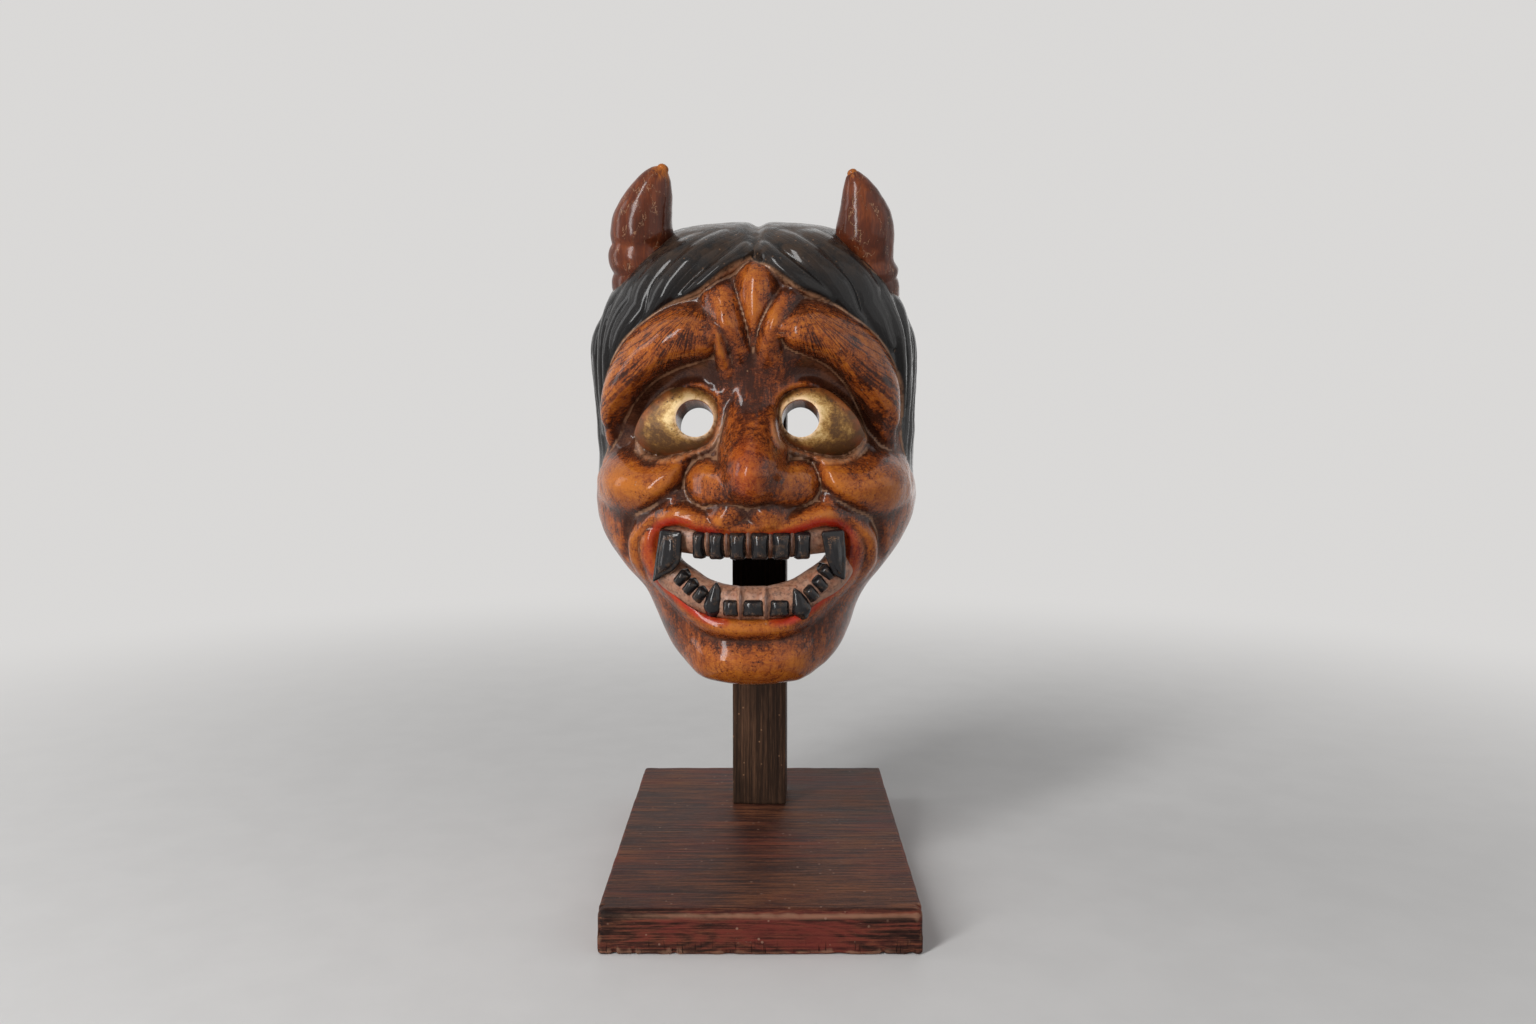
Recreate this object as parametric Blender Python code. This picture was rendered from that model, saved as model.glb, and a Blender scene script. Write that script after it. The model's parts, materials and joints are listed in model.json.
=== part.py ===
"""Carved demon mask of the noh stage, hung on a wooden display stand.

The scene is in metres. The sizes below are in millimetres and are scaled by MM.
The origin is the centre of the base board's underside, +Z is up and the mask looks along -Y.
Left and right are the viewer's, looking at the face.
Face coordinates are x to the right, q forward from the post's front and z up from the eye line.
"""

import math

import bmesh
import bpy
import numpy as np
from mathutils import Matrix, Vector

MM = 0.001
GAP = 0.3

# Stand
BASE_SIZE = (127.0, 194.0, 18.0)
BASE_FRONT_ROUND = 3.5
BASE_ARRIS = 0.9
POST_SIDE = 26.0
POST_TOP = 232.0
POST_ARRIS = 0.7
POST_X = -1.2
POST_FRONT_Y = 33.0
TENON_SHOULDER = 4.0
TENON_LENGTH = 6.0
STAND_TURN = math.radians(-2.5)
SCREW_SPACING = 10.0
SCREW_HEAD_RADIUS = 4.0
SCREW_SHANK_RADIUS = 2.0
SCREW_LENGTH = 45.0

# Peg that carries the mask, in the forehead hollow
PEG_RADIUS = 6.0
PEG_RISE = math.radians(40)
PEG_ROOT_Z = 212.0
PEG_BORE_DEPTH = 18.0
PEG_REACH = 71.1

# Overall form of the face: rows of half widths are latitude, left, right
EYE_LINE_Z = 205.0
RIM_STAND_OFF = 0.4
CROWN_RISE = 88.5
CHIN_DROP = 112.7
SECTION_POWER = 2.4
HALF_WIDTH = [
    (-90, 0, 0), (-83, 23, 26), (-75, 32, 35), (-65, 39.5, 40.6), (-56, 44.3, 44), (-47.5, 49, 47.4),
    (-41, 54, 52.4), (-34.7, 63.4, 60.4), (-26.4, 73, 69.8), (-18.7, 76.6, 74.6), (-12, 75.8, 73.7),
    (0, 73.4, 71.2), (23, 75.7, 71.8), (33, 70.2, 67.6), (41, 64.6, 63), (52, 57.4, 57), (66, 48, 48),
    (75, 37, 37), (83, 24, 24), (90, 0, 0),
]
FRONT_DEPTH = [
    (-90, 0), (-85, 40), (-80, 59), (-74, 70), (-63, 78), (-47, 78), (-29, 76), (-13, 68), (0, 67),
    (11, 70), (26, 74), (39, 72), (50, 67), (60, 58), (75, 38), (83, 20), (90, 0),
]
CHIN_UNDERCUT = 7.0
FORM_COLUMNS = 96
FORM_ROWS = 112
SHELL_KEEP = 0.182

# Hollow behind the face, as shares of the outside
HOLLOW_WIDTH_SHARE = 0.86
HOLLOW_DEPTH_SHARE = 0.79
HOLLOW_WALL_TOP = 13.0
HOLLOW_WALL_CHIN = 12.0

# Carving strokes: rows are x, z, radius, height. A stroke lies on both sides, on the left or as it stands.
# Broad forms add up, and the nose blends with its wings. Of the folds the highest shows; each has a power for
# its profile, and a brow's lower flank takes a share of the radius.
FORM_POWER = 2.0
LOCK_POWER = 0.85
UPPER_BROW_POWER = 1.5
LOWER_BROW_POWER = 0.75
BROW_UNDERCUT = 0.25
NOSE_BLEND = 4
FORMS = [
    ("brow shelf", "both",
     [(15, 40, 11, 3), (30, 40, 13, 5), (43, 32, 13, 5), (52, 20, 11, 4), (59, 4, 8, 2)]),
    ("eye socket", "both",
     [(17, 18, 7, -2), (22, 22, 8, -4.5), (31, 20.5, 9, -6), (42, 12, 9, -6.5), (51, 1, 8, -5),
      (57, -8, 5, -2.5)]),
    ("nose base", "centre", [(1, 8, 15, 2.5), (1, -4, 20, 6), (1, -18, 27, 10)]),
    ("cheek base", "both", [(62, -26, 14, 3), (50, -27, 19, 6), (36, -26, 15, 6)]),
    ("muzzle", "both", [(0, -36, 13, 6), (14, -36, 13, 6), (32, -38, 12, 4)]),
    ("fold groove", "both",
     [(33, -27, 3, -1.5), (46, -38, 4, -2.5), (54, -46, 4.5, -2.5), (56, -57, 4, -1.5)]),
    ("lip groove", "both", [(0, -93, 7, -1.2), (14, -92, 7, -1.2), (26, -87, 7, -1), (37, -78, 5, -0.6)]),
    ("chin boss", "both", [(0, -103, 15, 4), (18, -102, 14, 4)]),
]
LEFT_BROW = [
    (14.5, 32.4, 6, 5), (18.8, 32, 15, 9), (26, 31.4, 20, 10.5), (33.5, 29.8, 22, 11), (44, 24.2, 20, 11),
    (52.6, 14.9, 15, 10), (58, 5.4, 10, 8), (62, -4.6, 6, 4.5), (64.5, -10, 2.5, 1),
]
RIGHT_BROW = [
    (14.5, 37, 6, 5), (18.8, 35.6, 15, 9), (26, 34, 20, 10.5), (35.5, 30.2, 22, 11), (43.8, 21.8, 20, 11),
    (48.8, 11.6, 16, 10), (52.4, 3.4, 12, 8), (57, -5, 7, 4.5), (60.5, -10, 3, 1),
]
NOSE_FOLDS = [
    ("nose", "centre", 0.75,
     [(1, 8.5, 8.5, 2), (1, 4, 11.5, 5.5), (1, -2, 13.4, 10.5), (1, -8, 14.4, 16), (1, -14, 15.2, 21),
      (1.2, -18.6, 15.4, 22.5)]),
    ("left wing", "left", 0.7, [(12, -24, 9.4, 12.2), (18.6, -24, 9.8, 11.6)]),
    ("right wing", "centre", 0.7, [(13, -24, 9.4, 12.2), (19.8, -24, 9.8, 11.6)]),
]
FOLDS = [
    ("forehead drop", "centre", 1.0,
     [(2.4, 68, 5, 2), (2.8, 61, 9, 5.5), (2.6, 54.5, 8.6, 6.5), (2.2, 47.5, 6, 6), (1.8, 41.5, 4, 4.5),
      (1.6, 35, 2.5, 2)]),
    ("left fold", "left", 1.0,
     [(15, 59, 6, 2), (12.8, 52.5, 8.4, 5), (9.8, 46, 7.6, 7), (7, 39.5, 6.6, 7), (5, 32.5, 5.6, 4.5),
      (4, 25, 5, 0.5)]),
    ("small fold", "left", 1.0,
     [(16.5, 44.5, 2, 3), (13.6, 38, 3.4, 6.5), (12, 31, 3.8, 6.5), (10.5, 23, 3.8, 1.5)]),
    ("right fold", "centre", 1.0,
     [(19, 56, 5, 2), (13.8, 49.5, 6.2, 5), (10, 43.5, 6, 7), (8, 37, 6.2, 7), (8.2, 30.5, 6, 4.5),
      (9, 24, 5, 0.5)]),
    ("cheek roll", "both", 1.2,
     [(68, -24, 10, 0.6), (61, -24.5, 13, 5), (51, -25.5, 14, 9), (43, -24.5, 12, 9.5), (36, -20.5, 8.4, 8),
      (31, -16, 5.6, 6), (26, -12.8, 3.2, 2)]),
    ("left lip lobe", "left", 1.4, [(10, -36.5, 10, 5), (11.5, -40.5, 10, 6)]),
    ("right lip lobe", "centre", 1.4, [(8, -37, 10, 5), (9, -41, 10, 6)]),
    ("lip edge", "both", 1.2,
     [(0, -44, 5, 4.2), (8, -44, 5.4, 4.8), (15, -42.8, 5.6, 5), (22, -40.6, 6, 5), (29, -38.2, 6.2, 5.4),
      (35, -38.6, 6, 5), (41, -41.2, 5, 4), (45.5, -45.5, 4, 2.5)]),
    ("outer mouth fold", "both", 1.2,
     [(33, -31, 4, 1.5), (40, -36, 5, 3.5), (46.5, -42.5, 5.6, 4.8), (51, -50, 5, 4.4), (51, -58, 4.4, 3),
      (48, -67, 3, 0.8)]),
    ("mouth corner", "both", 1.2,
     [(40, -42, 3, 2), (44.6, -47.5, 5, 4.4), (45, -56, 5, 4), (42, -66, 4.4, 3)]),
    ("lower lip", "both", 1.2,
     [(0, -85, 5.8, 5.5), (10, -84.9, 5.8, 5.5), (18, -83.4, 5.8, 5.5), (26, -79, 5.8, 5.2),
      (33, -73.5, 5.2, 4.8), (40, -67.5, 4.4, 4), (44, -62, 3, 2)]),
]

# Hair: its front edge, its thickness and its locks
HAIRLINE = [(-3, 72), (1.5, 68), (8, 64), (20, 56), (34, 51), (48, 42), (57.5, 30), (62.5, 18), (64.5, 3),
            (65.5, -6), (68, -14), (71.5, -20), (82, -23)]
HAIR_THICKNESS = 3.0
HAIR_EDGE = 2.5
LOCKS = [
    [(2.6, 75, 2.5, 1.5), (8.5, 67.6, 5, 4), (15.5, 61, 4.6, 4), (23, 55.8, 2, 2)],
    [(8, 80, 3, 0.8), (14, 75.5, 5.4, 2.4), (21, 65.8, 5.6, 4), (30, 55.5, 4.6, 4), (38, 48.5, 2, 2)],
    [(17, 83, 3, 0.6), (24.5, 76.5, 6.2, 2), (34, 64.8, 6.6, 3.8), (43, 52.5, 6, 4), (51, 41, 3, 3)],
    [(31, 82, 3, 0.6), (41, 70, 6.4, 2.4), (50, 55.5, 7, 3.8), (57.5, 40.5, 6, 4), (62, 27, 4, 3),
     (64, 15, 2, 2)],
    [(46, 73, 3, 0.6), (55, 61, 5, 2.4), (61, 48, 5, 3.2), (65, 35, 4, 3), (67, 20, 3, 2.4),
     (67.5, 4, 2, 1.6)],
]
PARTING = 1.4
PARTING_DEPTH = 2.2

# Eyes: gilt plates over carved eyeballs, each with a round pupil
EYE_OUTLINE = [(50, -4.5), (45, 5), (35, 14), (25, 16.5), (17, 14.2), (12.8, 9), (13.2, 0), (16.5, -7.5),
               (26, -11.7), (38.5, -14), (45.5, -11)]
EYE_BALL = (27.0, 50.0, 2.0)
EYE_BALL_RADII = (27.0, 18.0, 19.0)
EYE_SHIFT = -1.5
PUPIL = (22.6, 3.0)
PUPIL_RADIUS = 8.0
PUPIL_DROP = math.radians(13)
PLATE_THICKNESS = 1.2

# Mouth: opening between the lips, the two gums and the teeth
MOUTH_OUTLINE = [(0, -48.6), (8, -48.2), (15, -46.8), (22, -44.8), (29, -42.6), (35, -42.8), (39, -44.8),
                 (39.8, -49.5), (39.6, -57), (39.2, -65.4), (33.5, -71.6), (25.5, -77), (16, -80.6),
                 (0, -81.6)]
UPPER_GUM = [(0, 73, -49.2), (16, 71, -49), (30, 66.5, -47.8), (42, 58, -48)]
LOWER_GUM = [(0, 75, -75.4), (10, 74.4, -74.9), (20, 72, -71.8), (27, 69, -67.4), (33.5, 65.5, -62),
             (41, 59, -55.5)]
GUM_RADII = (6.8, 7.0)
TOOTH_ARC = 0.0075
UPPER_TEETH = [(-21.4, 4.8), (-13.9, 5.8), (-5.0, 6.4), (4.3, 7.0), (13.2, 7.2), (22.0, 6.6)]
UPPER_TOOTH_DEPTH = 5.0
UPPER_TOOTH_HEIGHT = 11.6
UPPER_TOOTH_Z = -50.4
UPPER_TOOTH_Q = 79.4
FANGS = {
    "left": [(-38.6, -44.0), (-28.6, -44.6), (-29.4, -57.5), (-32.6, -61.6), (-42.2, -67.2), (-40.4, -55.0)],
    "right": [(29.8, -44.4), (39.8, -43.8), (40.6, -55.0), (40.4, -65.8), (35.6, -63.4), (32.4, -57.0)],
}
FANG_DEPTH = (70.5, 77.5)
FANG_LEAN = 0.35
FANG_MIDDLE = 35.0
LOWER_INCISORS = [(-7.6, 6.5), (1.6, 9.4), (12.3, 8.2)]
INCISOR_DEPTH = 5.0
INCISOR_HEIGHT = 7.4
INCISOR_Z = -76.4
INCISOR_Q = 80.4
CANINES = {
    "left": ((-15.6, 78.2, -77.5), (-13.4, 79.4, -66.2)),
    "right": ((21.2, 77.6, -77.3), (18.2, 78.8, -67.3)),
}
CANINE_RADII = (3.2, 0.9)
MOLARS = {
    "left": [(-20.3, 76.6, -71.2), (-24.5, 74.8, -68.2), (-28.4, 72.6, -64.8)],
    "right": [(25.2, 75.0, -70.6), (28.8, 72.8, -66.8), (31.4, 70.4, -62.3)],
}
MOLAR_SIZE = (4.0, 5.0, 5.6)
MOLAR_ROLL = math.radians(40)
TOOTH_BEVEL = 1.1

# Horns, let into the crown: rows are x, q, z, radius, with rings near the root
HORNS = {
    "left": [(-48.2, 30.4, 54.5, 13.5), (-49, 33.5, 62, 15.1), (-49.4, 35, 65.5, 15.1), (-49.6, 36.2, 69, 13.7),
             (-50, 37.3, 72.6, 14.6), (-50.4, 38.2, 76, 14.6), (-50.2, 39, 79.6, 13.2), (-50, 39.8, 84, 14),
             (-49.2, 41, 90, 13.3), (-47, 42.2, 97, 11.4), (-44, 43.2, 104.2, 8.6), (-41.4, 44, 109.2, 5.6),
             (-39.8, 44.4, 111.8, 2.8), (-39.3, 44.5, 114.1, 1.2)],
    "right": [(48.2, 30, 52.2, 13.5), (49, 32.6, 59, 15.4), (49.5, 34, 62.5, 14.9), (49.5, 35, 65.4, 13.6),
              (49.6, 36.2, 69, 14.2), (49.6, 37.2, 72.6, 12.1), (49.4, 38.6, 77.4, 12.2),
              (48.8, 40, 83.4, 12.9), (48.4, 41.4, 90.4, 11.9), (46.9, 42.8, 97.4, 9.5),
              (44.9, 43.6, 104, 6.4), (43.3, 44.1, 108.4, 3.4), (42.9, 44.2, 109.4, 2.4),
              (42.7, 44.3, 111.4, 1.2)],
}
HORN_SEAT_DEPTH = 4.0

# Holes for the tying cords, beside the eyes
CORD_HOLE_RADIUS = 2.2
CORD_HOLE = (70.0, 12.0, 4.0)

PARTS = bpy.data.collections.new("noh_mask")
CUTTERS = bpy.data.collections.new("cutters")


def spline(rows, steps=8):
    """Sampled Catmull-Rom curve through control rows of any width."""
    rows = np.array(rows, float)
    ends = np.vstack([2 * rows[0] - rows[1], rows, 2 * rows[-1] - rows[-2]])
    t = np.linspace(0, 1, steps, endpoint=False)[:, None]
    spans = []
    for a, b, c, d in zip(ends, ends[1:], ends[2:], ends[3:]):
        bend = (2 * a - 5 * b + 4 * c - d) * t**2 + (3 * b - a - 3 * c + d) * t**3
        spans.append(0.5 * (2 * b + (c - a) * t + bend))
    spans.append(rows[-1:])
    return np.vstack(spans)


def closed_outline(half):
    """Closed symmetric outline from the points of its right half, top to bottom."""
    right = spline(half, 4)
    left = right[-2:0:-1] * (-1, 1)
    return np.vstack([right, left])


def ramp(value):
    """Smooth step from 0 to 1."""
    value = np.clip(value, 0, 1)
    return value * value * (3 - 2 * value)


def face_form(lat, lon, width_share=1.0, depth_share=1.0, top_inset=0.0, chin_inset=0.0):
    """Smooth face before carving, as x, q, z columns, from latitude and longitude in degrees."""
    widths = spline(HALF_WIDTH)
    depths = spline(FRONT_DEPTH)
    across = np.sin(np.radians(lon))
    left = np.interp(lat, widths[:, 0], widths[:, 1])
    right = np.interp(lat, widths[:, 0], widths[:, 2])
    x = np.where(across < 0, left, right) * width_share * across
    fullness = np.maximum(0, 1 - np.abs(across) ** SECTION_POWER) ** (1 / SECTION_POWER)
    q = np.interp(lat, depths[:, 0], depths[:, 1]) * depth_share * fullness
    z = np.where(lat > 0, CROWN_RISE - top_inset, CHIN_DROP - chin_inset) * np.sin(np.radians(lat))
    z += CHIN_UNDERCUT * np.clip(1 - q / 60, 0, 1) ** 2 * np.clip((-lat - 55) / 15, 0, 1)
    return np.stack([x, q, z], axis=1)


def nearest_on(rows, x, z, lower=1):
    """Distance to a stroke in units of its radius, its height there and the side, +1 on its left.

    On the other side the radius is taken times the lower share.
    """
    share = np.full(x.shape, 1e9)
    height = np.zeros(x.shape)
    side = np.zeros(x.shape)
    for a, b in zip(rows, rows[1:]):
        run = b[:2] - a[:2]
        along = np.clip(((x - a[0]) * run[0] + (z - a[1]) * run[1]) / (run @ run), 0, 1)
        dx = x - a[0] - along * run[0]
        dz = z - a[1] - along * run[1]
        above = np.sign(run[0] * dz - run[1] * dx)
        here = np.hypot(dx, dz) / (a[2] + (b[2] - a[2]) * along) / np.where(above < 0, lower, 1)
        closer = here < share
        share = np.where(closer, here, share)
        height = np.where(closer, a[3] + (b[3] - a[3]) * along, height)
        side = np.where(closer, above, side)
    return share, height, side


def stroke_relief(rows, power, x, z):
    """Height that one carving stroke adds at each point."""
    share, height, _ = nearest_on(spline(rows), x, z)
    return height * np.maximum(0, 1 - share**2) ** power


def brow_relief(rows, x, z):
    """Height of a brow, which slopes from the hairline to a ridge and turns in sharply below it."""
    share, height, side = nearest_on(spline(rows), x, z, BROW_UNDERCUT)
    power = np.where(side < 0, LOWER_BROW_POWER, UPPER_BROW_POWER)
    return height * np.maximum(0, 1 - share**2) ** power


def eye_reach(angle):
    """Distance from the pupil's centre to the eye's outline, at an angle."""
    outline = spline(EYE_OUTLINE + EYE_OUTLINE[:1], 6)[:-1] - PUPIL
    angles = np.arctan2(outline[:, 1], outline[:, 0])
    order = np.argsort(angles)
    return np.interp(angle, angles[order], np.hypot(*outline.T)[order], period=2 * math.pi)


def eye_ball(x, z):
    """Forward reach of the eyeball."""
    over = ((x - EYE_BALL[0]) / EYE_BALL_RADII[0]) ** 2 + ((z - EYE_BALL[2]) / EYE_BALL_RADII[2]) ** 2
    return EYE_BALL[1] + EYE_BALL_RADII[1] * np.sqrt(np.maximum(0.05, 1 - over))


def carve(form, normals):
    """Carved face from the smooth one: features, hair with its locks, and the eyeballs."""
    x, q, z = form.T
    mirrored = np.abs(x)
    relief = np.zeros(x.shape)
    across = {"both": mirrored, "left": -x, "centre": x}
    for _, side, rows in FORMS:
        relief += stroke_relief(rows, FORM_POWER, across[side], z)
    folds = np.maximum(brow_relief(LEFT_BROW, -x, z), brow_relief(RIGHT_BROW, x, z))
    for _, side, power, rows in FOLDS:
        folds = np.maximum(folds, stroke_relief(rows, power, across[side], z))
    nose = np.zeros(x.shape)
    for _, side, power, rows in NOSE_FOLDS:
        nose += stroke_relief(rows, power, across[side], z) ** NOSE_BLEND
    folds = np.maximum(folds, nose ** (1 / NOSE_BLEND))
    relief += folds
    line = [(a, b, 1, 1) for a, b in HAIRLINE]
    distance, _, side = nearest_on(spline(line), mirrored, z)
    hair = ramp(0.5 + distance * side / HAIR_EDGE)
    lock = np.zeros(x.shape)
    for rows in LOCKS:
        lock = np.maximum(lock, stroke_relief(rows, LOCK_POWER, mirrored, z))
    lock -= PARTING_DEPTH * np.exp(-(((x - PARTING) / 3) ** 2)) * ramp((z - 62) / 10)
    relief = relief * (1 - hair) + (HAIR_THICKNESS + lock) * hair
    edgeward = np.maximum(ramp((mirrored - 42) / 18), np.maximum(ramp((z - 45) / 15), ramp((-z - 98) / 10)))
    forward = np.array([0.0, 1.0, 0.0])
    direction = normals * edgeward[:, None] + forward * (1 - edgeward[:, None])
    direction /= np.linalg.norm(direction, axis=1, keepdims=True)
    carved = form + direction * relief[:, None]
    eye_x = np.abs(x - EYE_SHIFT)
    dx = eye_x - PUPIL[0]
    dz = z - PUPIL[1]
    inside = eye_reach(np.arctan2(dz, dx)) - np.hypot(dx, dz)
    eye = ramp(0.5 + inside / 1.2)[:, None]
    seat = np.stack([x, eye_ball(eye_x, z) + 0.5, z], axis=1)
    return carved * (1 - eye) + seat * eye


def to_scene(points):
    """Face coordinates in millimetres as scene coordinates in metres."""
    return points * (MM, -MM, MM)


def half_form(columns, rows, place):
    """Half sphere, open behind, its vertices placed by a function of latitude, longitude and rim."""
    bm = bmesh.new()
    bmesh.ops.create_uvsphere(bm, u_segments=2 * columns, v_segments=rows, radius=1)
    everything = bm.verts[:] + bm.edges[:] + bm.faces[:]
    bmesh.ops.bisect_plane(
        bm, geom=everything, dist=1e-5, plane_co=(0, 0, 0), plane_no=(0, 1, 0), clear_outer=True
    )
    unit = np.array([vert.co for vert in bm.verts])
    lat = np.degrees(np.arcsin(np.clip(unit[:, 2], -1, 1)))
    lon = np.degrees(np.arctan2(unit[:, 0], -unit[:, 1]))
    rim = unit[:, 1] > -1e-4
    place_vertices(bm, place(lat, lon, rim))
    return bm, rim


def thin_out(bm, keep):
    """The same surface with a share of its faces, fewest where it is flattest."""
    helper = bpy.data.objects.new("thin_out", finish_mesh(bm, "thin_out"))
    CUTTERS.objects.link(helper)
    fewer = helper.modifiers.new("fewer_faces", "DECIMATE")
    fewer.ratio = keep
    thinned = bmesh.new()
    thinned.from_object(helper, bpy.context.evaluated_depsgraph_get())
    bpy.data.objects.remove(helper)
    return thinned


def close_back(bm, q):
    """Flattens the open rim to one depth and closes it with a flat back."""
    rim_edges = [edge for edge in bm.edges if edge.is_boundary]
    for edge in rim_edges:
        for vert in edge.verts:
            vert.co.y = -q * MM
    bmesh.ops.holes_fill(bm, edges=rim_edges, sides=0)
    bmesh.ops.recalc_face_normals(bm, faces=bm.faces)


def place_vertices(bm, points):
    """Moves every vertex to its row of face coordinates."""
    for vert, point in zip(bm.verts, to_scene(points)):
        vert.co = point


def finish_mesh(bm, name, smooth_angle=None):
    """Mesh data from a bmesh, shaded smooth up to an angle where one is given."""
    mesh = bpy.data.meshes.new(name)
    bm.to_mesh(mesh)
    bm.free()
    if smooth_angle:
        mesh.shade_smooth()
        mesh.set_sharp_from_angle(angle=math.radians(smooth_angle))
    return mesh


def make_material(name, color, roughness, metallic=0.0):
    """Principled material."""
    material = bpy.data.materials.new(name)
    material.use_nodes = True
    shader = material.node_tree.nodes["Principled BSDF"]
    shader.inputs["Base Color"].default_value = (*color, 1)
    shader.inputs["Roughness"].default_value = roughness
    shader.inputs["Metallic"].default_value = metallic
    return material


def add_part(name, mesh, material, parent=None, location=(0, 0, 0), rotation=(0, 0, 0)):
    """Visible sub-part, placed under its parent."""
    part = bpy.data.objects.new(name, mesh)
    mesh.materials.append(material)
    part.parent = parent
    part.location = location
    part.rotation_euler = rotation
    PARTS.objects.link(part)
    return part


def add_cutter(name, mesh, parent=None, location=(0, 0, 0), rotation=(0, 0, 0), group=None):
    """Hidden helper for a Boolean."""
    cutter = bpy.data.objects.new(name, mesh)
    cutter.parent = parent
    cutter.location = location
    cutter.rotation_euler = rotation
    cutter.hide_render = True
    cutter.display_type = "WIRE"
    (group or CUTTERS).objects.link(cutter)
    return cutter


def boolean(target, other, operation="DIFFERENCE"):
    """Live Boolean with one helper, or with a collection of helpers."""
    modifier = target.modifiers.new(other.name, "BOOLEAN")
    modifier.operation = operation
    modifier.solver = "EXACT"
    if isinstance(other, bpy.types.Collection):
        modifier.operand_type = "COLLECTION"
        modifier.collection = other
    else:
        modifier.object = other


def box_mesh(name, size, bevel=0.0, taper=1.0, segments=2):
    """Box centred on its origin, narrowed towards its foot by the taper, with rounded edges."""
    bm = bmesh.new()
    bmesh.ops.create_cube(bm, size=1)
    bmesh.ops.scale(bm, verts=bm.verts, vec=Vector(size) * MM)
    for vert in bm.verts:
        if vert.co.z < 0:
            vert.co.x *= taper
    if bevel:
        rounding = {"profile": 0.5, "affect": "EDGES", "material": -1}
        bmesh.ops.bevel(bm, geom=bm.edges[:], offset=bevel * MM, segments=segments, **rounding)
    return finish_mesh(bm, name, 50 if bevel else None)


def cylinder_mesh(name, radius, length, segments=24):
    """Cylinder along Z, centred on its origin."""
    bm = bmesh.new()
    bmesh.ops.create_cone(
        bm, cap_ends=True, segments=segments, radius1=radius * MM, radius2=radius * MM, depth=length * MM
    )
    return finish_mesh(bm, name)


def tube_mesh(name, rows, sides, steps=3):
    """Round bar along a curve through x, q, z, radius rows, with flat ends."""
    rows = spline(rows, steps)
    curve = bpy.data.curves.new(name, "CURVE")
    curve.dimensions = "3D"
    curve.bevel_depth = MM
    curve.bevel_resolution = (sides - 4) // 2
    curve.use_fill_caps = True
    line = curve.splines.new("POLY")
    line.points.add(len(rows) - 1)
    for point, place, radius in zip(line.points, to_scene(rows[:, :3]), rows[:, 3]):
        point.co = (*place, 1)
        point.radius = radius
    helper = bpy.data.objects.new(name, curve)
    bm = bmesh.new()
    bm.from_mesh(helper.to_mesh())
    bpy.data.objects.remove(helper)
    bmesh.ops.remove_doubles(bm, verts=bm.verts, dist=1e-6)
    bmesh.ops.recalc_face_normals(bm, faces=bm.faces)
    return finish_mesh(bm, name, 40)


def cone_mesh(name, radii, length, flatness, grow=0.0):
    """Pointed tooth hanging from its root at the origin towards -Z."""
    bm = bmesh.new()
    bmesh.ops.create_cone(
        bm,
        cap_ends=True,
        segments=12,
        radius1=(radii[1] + grow) * MM,
        radius2=(radii[0] + grow) * MM,
        depth=(length + 2 * grow) * MM,
        matrix=Matrix.Translation((0, 0, -length / 2 * MM)),
    )
    bmesh.ops.scale(bm, verts=bm.verts, vec=(1, flatness, 1))
    return finish_mesh(bm, name, 45)


def blade_mesh(name, outline, grow=0.0):
    """Broad flat fang with an x, z outline, turned back towards the corner of the mouth."""
    outline = np.array(outline)
    away = outline - outline.mean(axis=0)
    outline = outline + away / np.linalg.norm(away, axis=1, keepdims=True) * grow * 1.4
    back, front = FANG_DEPTH[0] - grow, FANG_DEPTH[1] + grow
    bm = bmesh.new()
    face = bm.faces.new([bm.verts.new((x * MM, -back * MM, z * MM)) for x, z in outline])
    raised = bmesh.ops.extrude_face_region(bm, geom=[face], use_keep_orig=True)
    moved = [item for item in raised["geom"] if isinstance(item, bmesh.types.BMVert)]
    bmesh.ops.translate(bm, verts=moved, vec=(0, (back - front) * MM, 0))
    bmesh.ops.recalc_face_normals(bm, faces=bm.faces)
    if not grow:
        rounding = {"profile": 0.5, "affect": "EDGES", "material": -1}
        bmesh.ops.bevel(bm, geom=bm.edges[:], offset=TOOTH_BEVEL * MM, segments=2, **rounding)
    for vert in bm.verts:
        vert.co.y += FANG_LEAN * (abs(vert.co.x) - FANG_MIDDLE * MM)
    return finish_mesh(bm, name, 45)


def turned_mesh(name, profile, segments=20):
    """Solid of revolution about Z from radius, height rows that start and end on the axis."""
    bm = bmesh.new()
    verts = [bm.verts.new((radius * MM, 0, height * MM)) for radius, height in profile]
    edges = [bm.edges.new(pair) for pair in zip(verts, verts[1:])]
    turn = {"axis": (0, 0, 1), "angle": 2 * math.pi}
    bmesh.ops.spin(bm, geom=verts + edges, cent=(0, 0, 0), steps=segments, use_merge=True, **turn)
    bmesh.ops.remove_doubles(bm, verts=bm.verts, dist=1e-6)
    bmesh.ops.recalc_face_normals(bm, faces=bm.faces)
    return finish_mesh(bm, name, 40)


def outline_mesh(name, outline, q_low, q_high):
    """Straight-sided block with an x, z outline, between two depths."""
    curve = bpy.data.curves.new(name, "CURVE")
    curve.dimensions = "2D"
    curve.fill_mode = "BOTH"
    curve.extrude = (q_high - q_low) / 2 * MM
    line = curve.splines.new("POLY")
    line.use_cyclic_u = True
    line.points.add(len(outline) - 1)
    for point, (x, z) in zip(line.points, outline * MM):
        point.co = (x, z, 0, 1)
    helper = bpy.data.objects.new(name, curve)
    bm = bmesh.new()
    bm.from_mesh(helper.to_mesh())
    bpy.data.objects.remove(helper)
    bmesh.ops.remove_doubles(bm, verts=bm.verts, dist=1e-6)
    bmesh.ops.rotate(bm, verts=bm.verts, cent=(0, 0, 0), matrix=Matrix.Rotation(math.pi / 2, 3, "X"))
    bmesh.ops.translate(bm, verts=bm.verts, vec=(0, -(q_low + q_high) / 2 * MM, 0))
    bmesh.ops.recalc_face_normals(bm, faces=bm.faces)
    return finish_mesh(bm, name)


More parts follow.
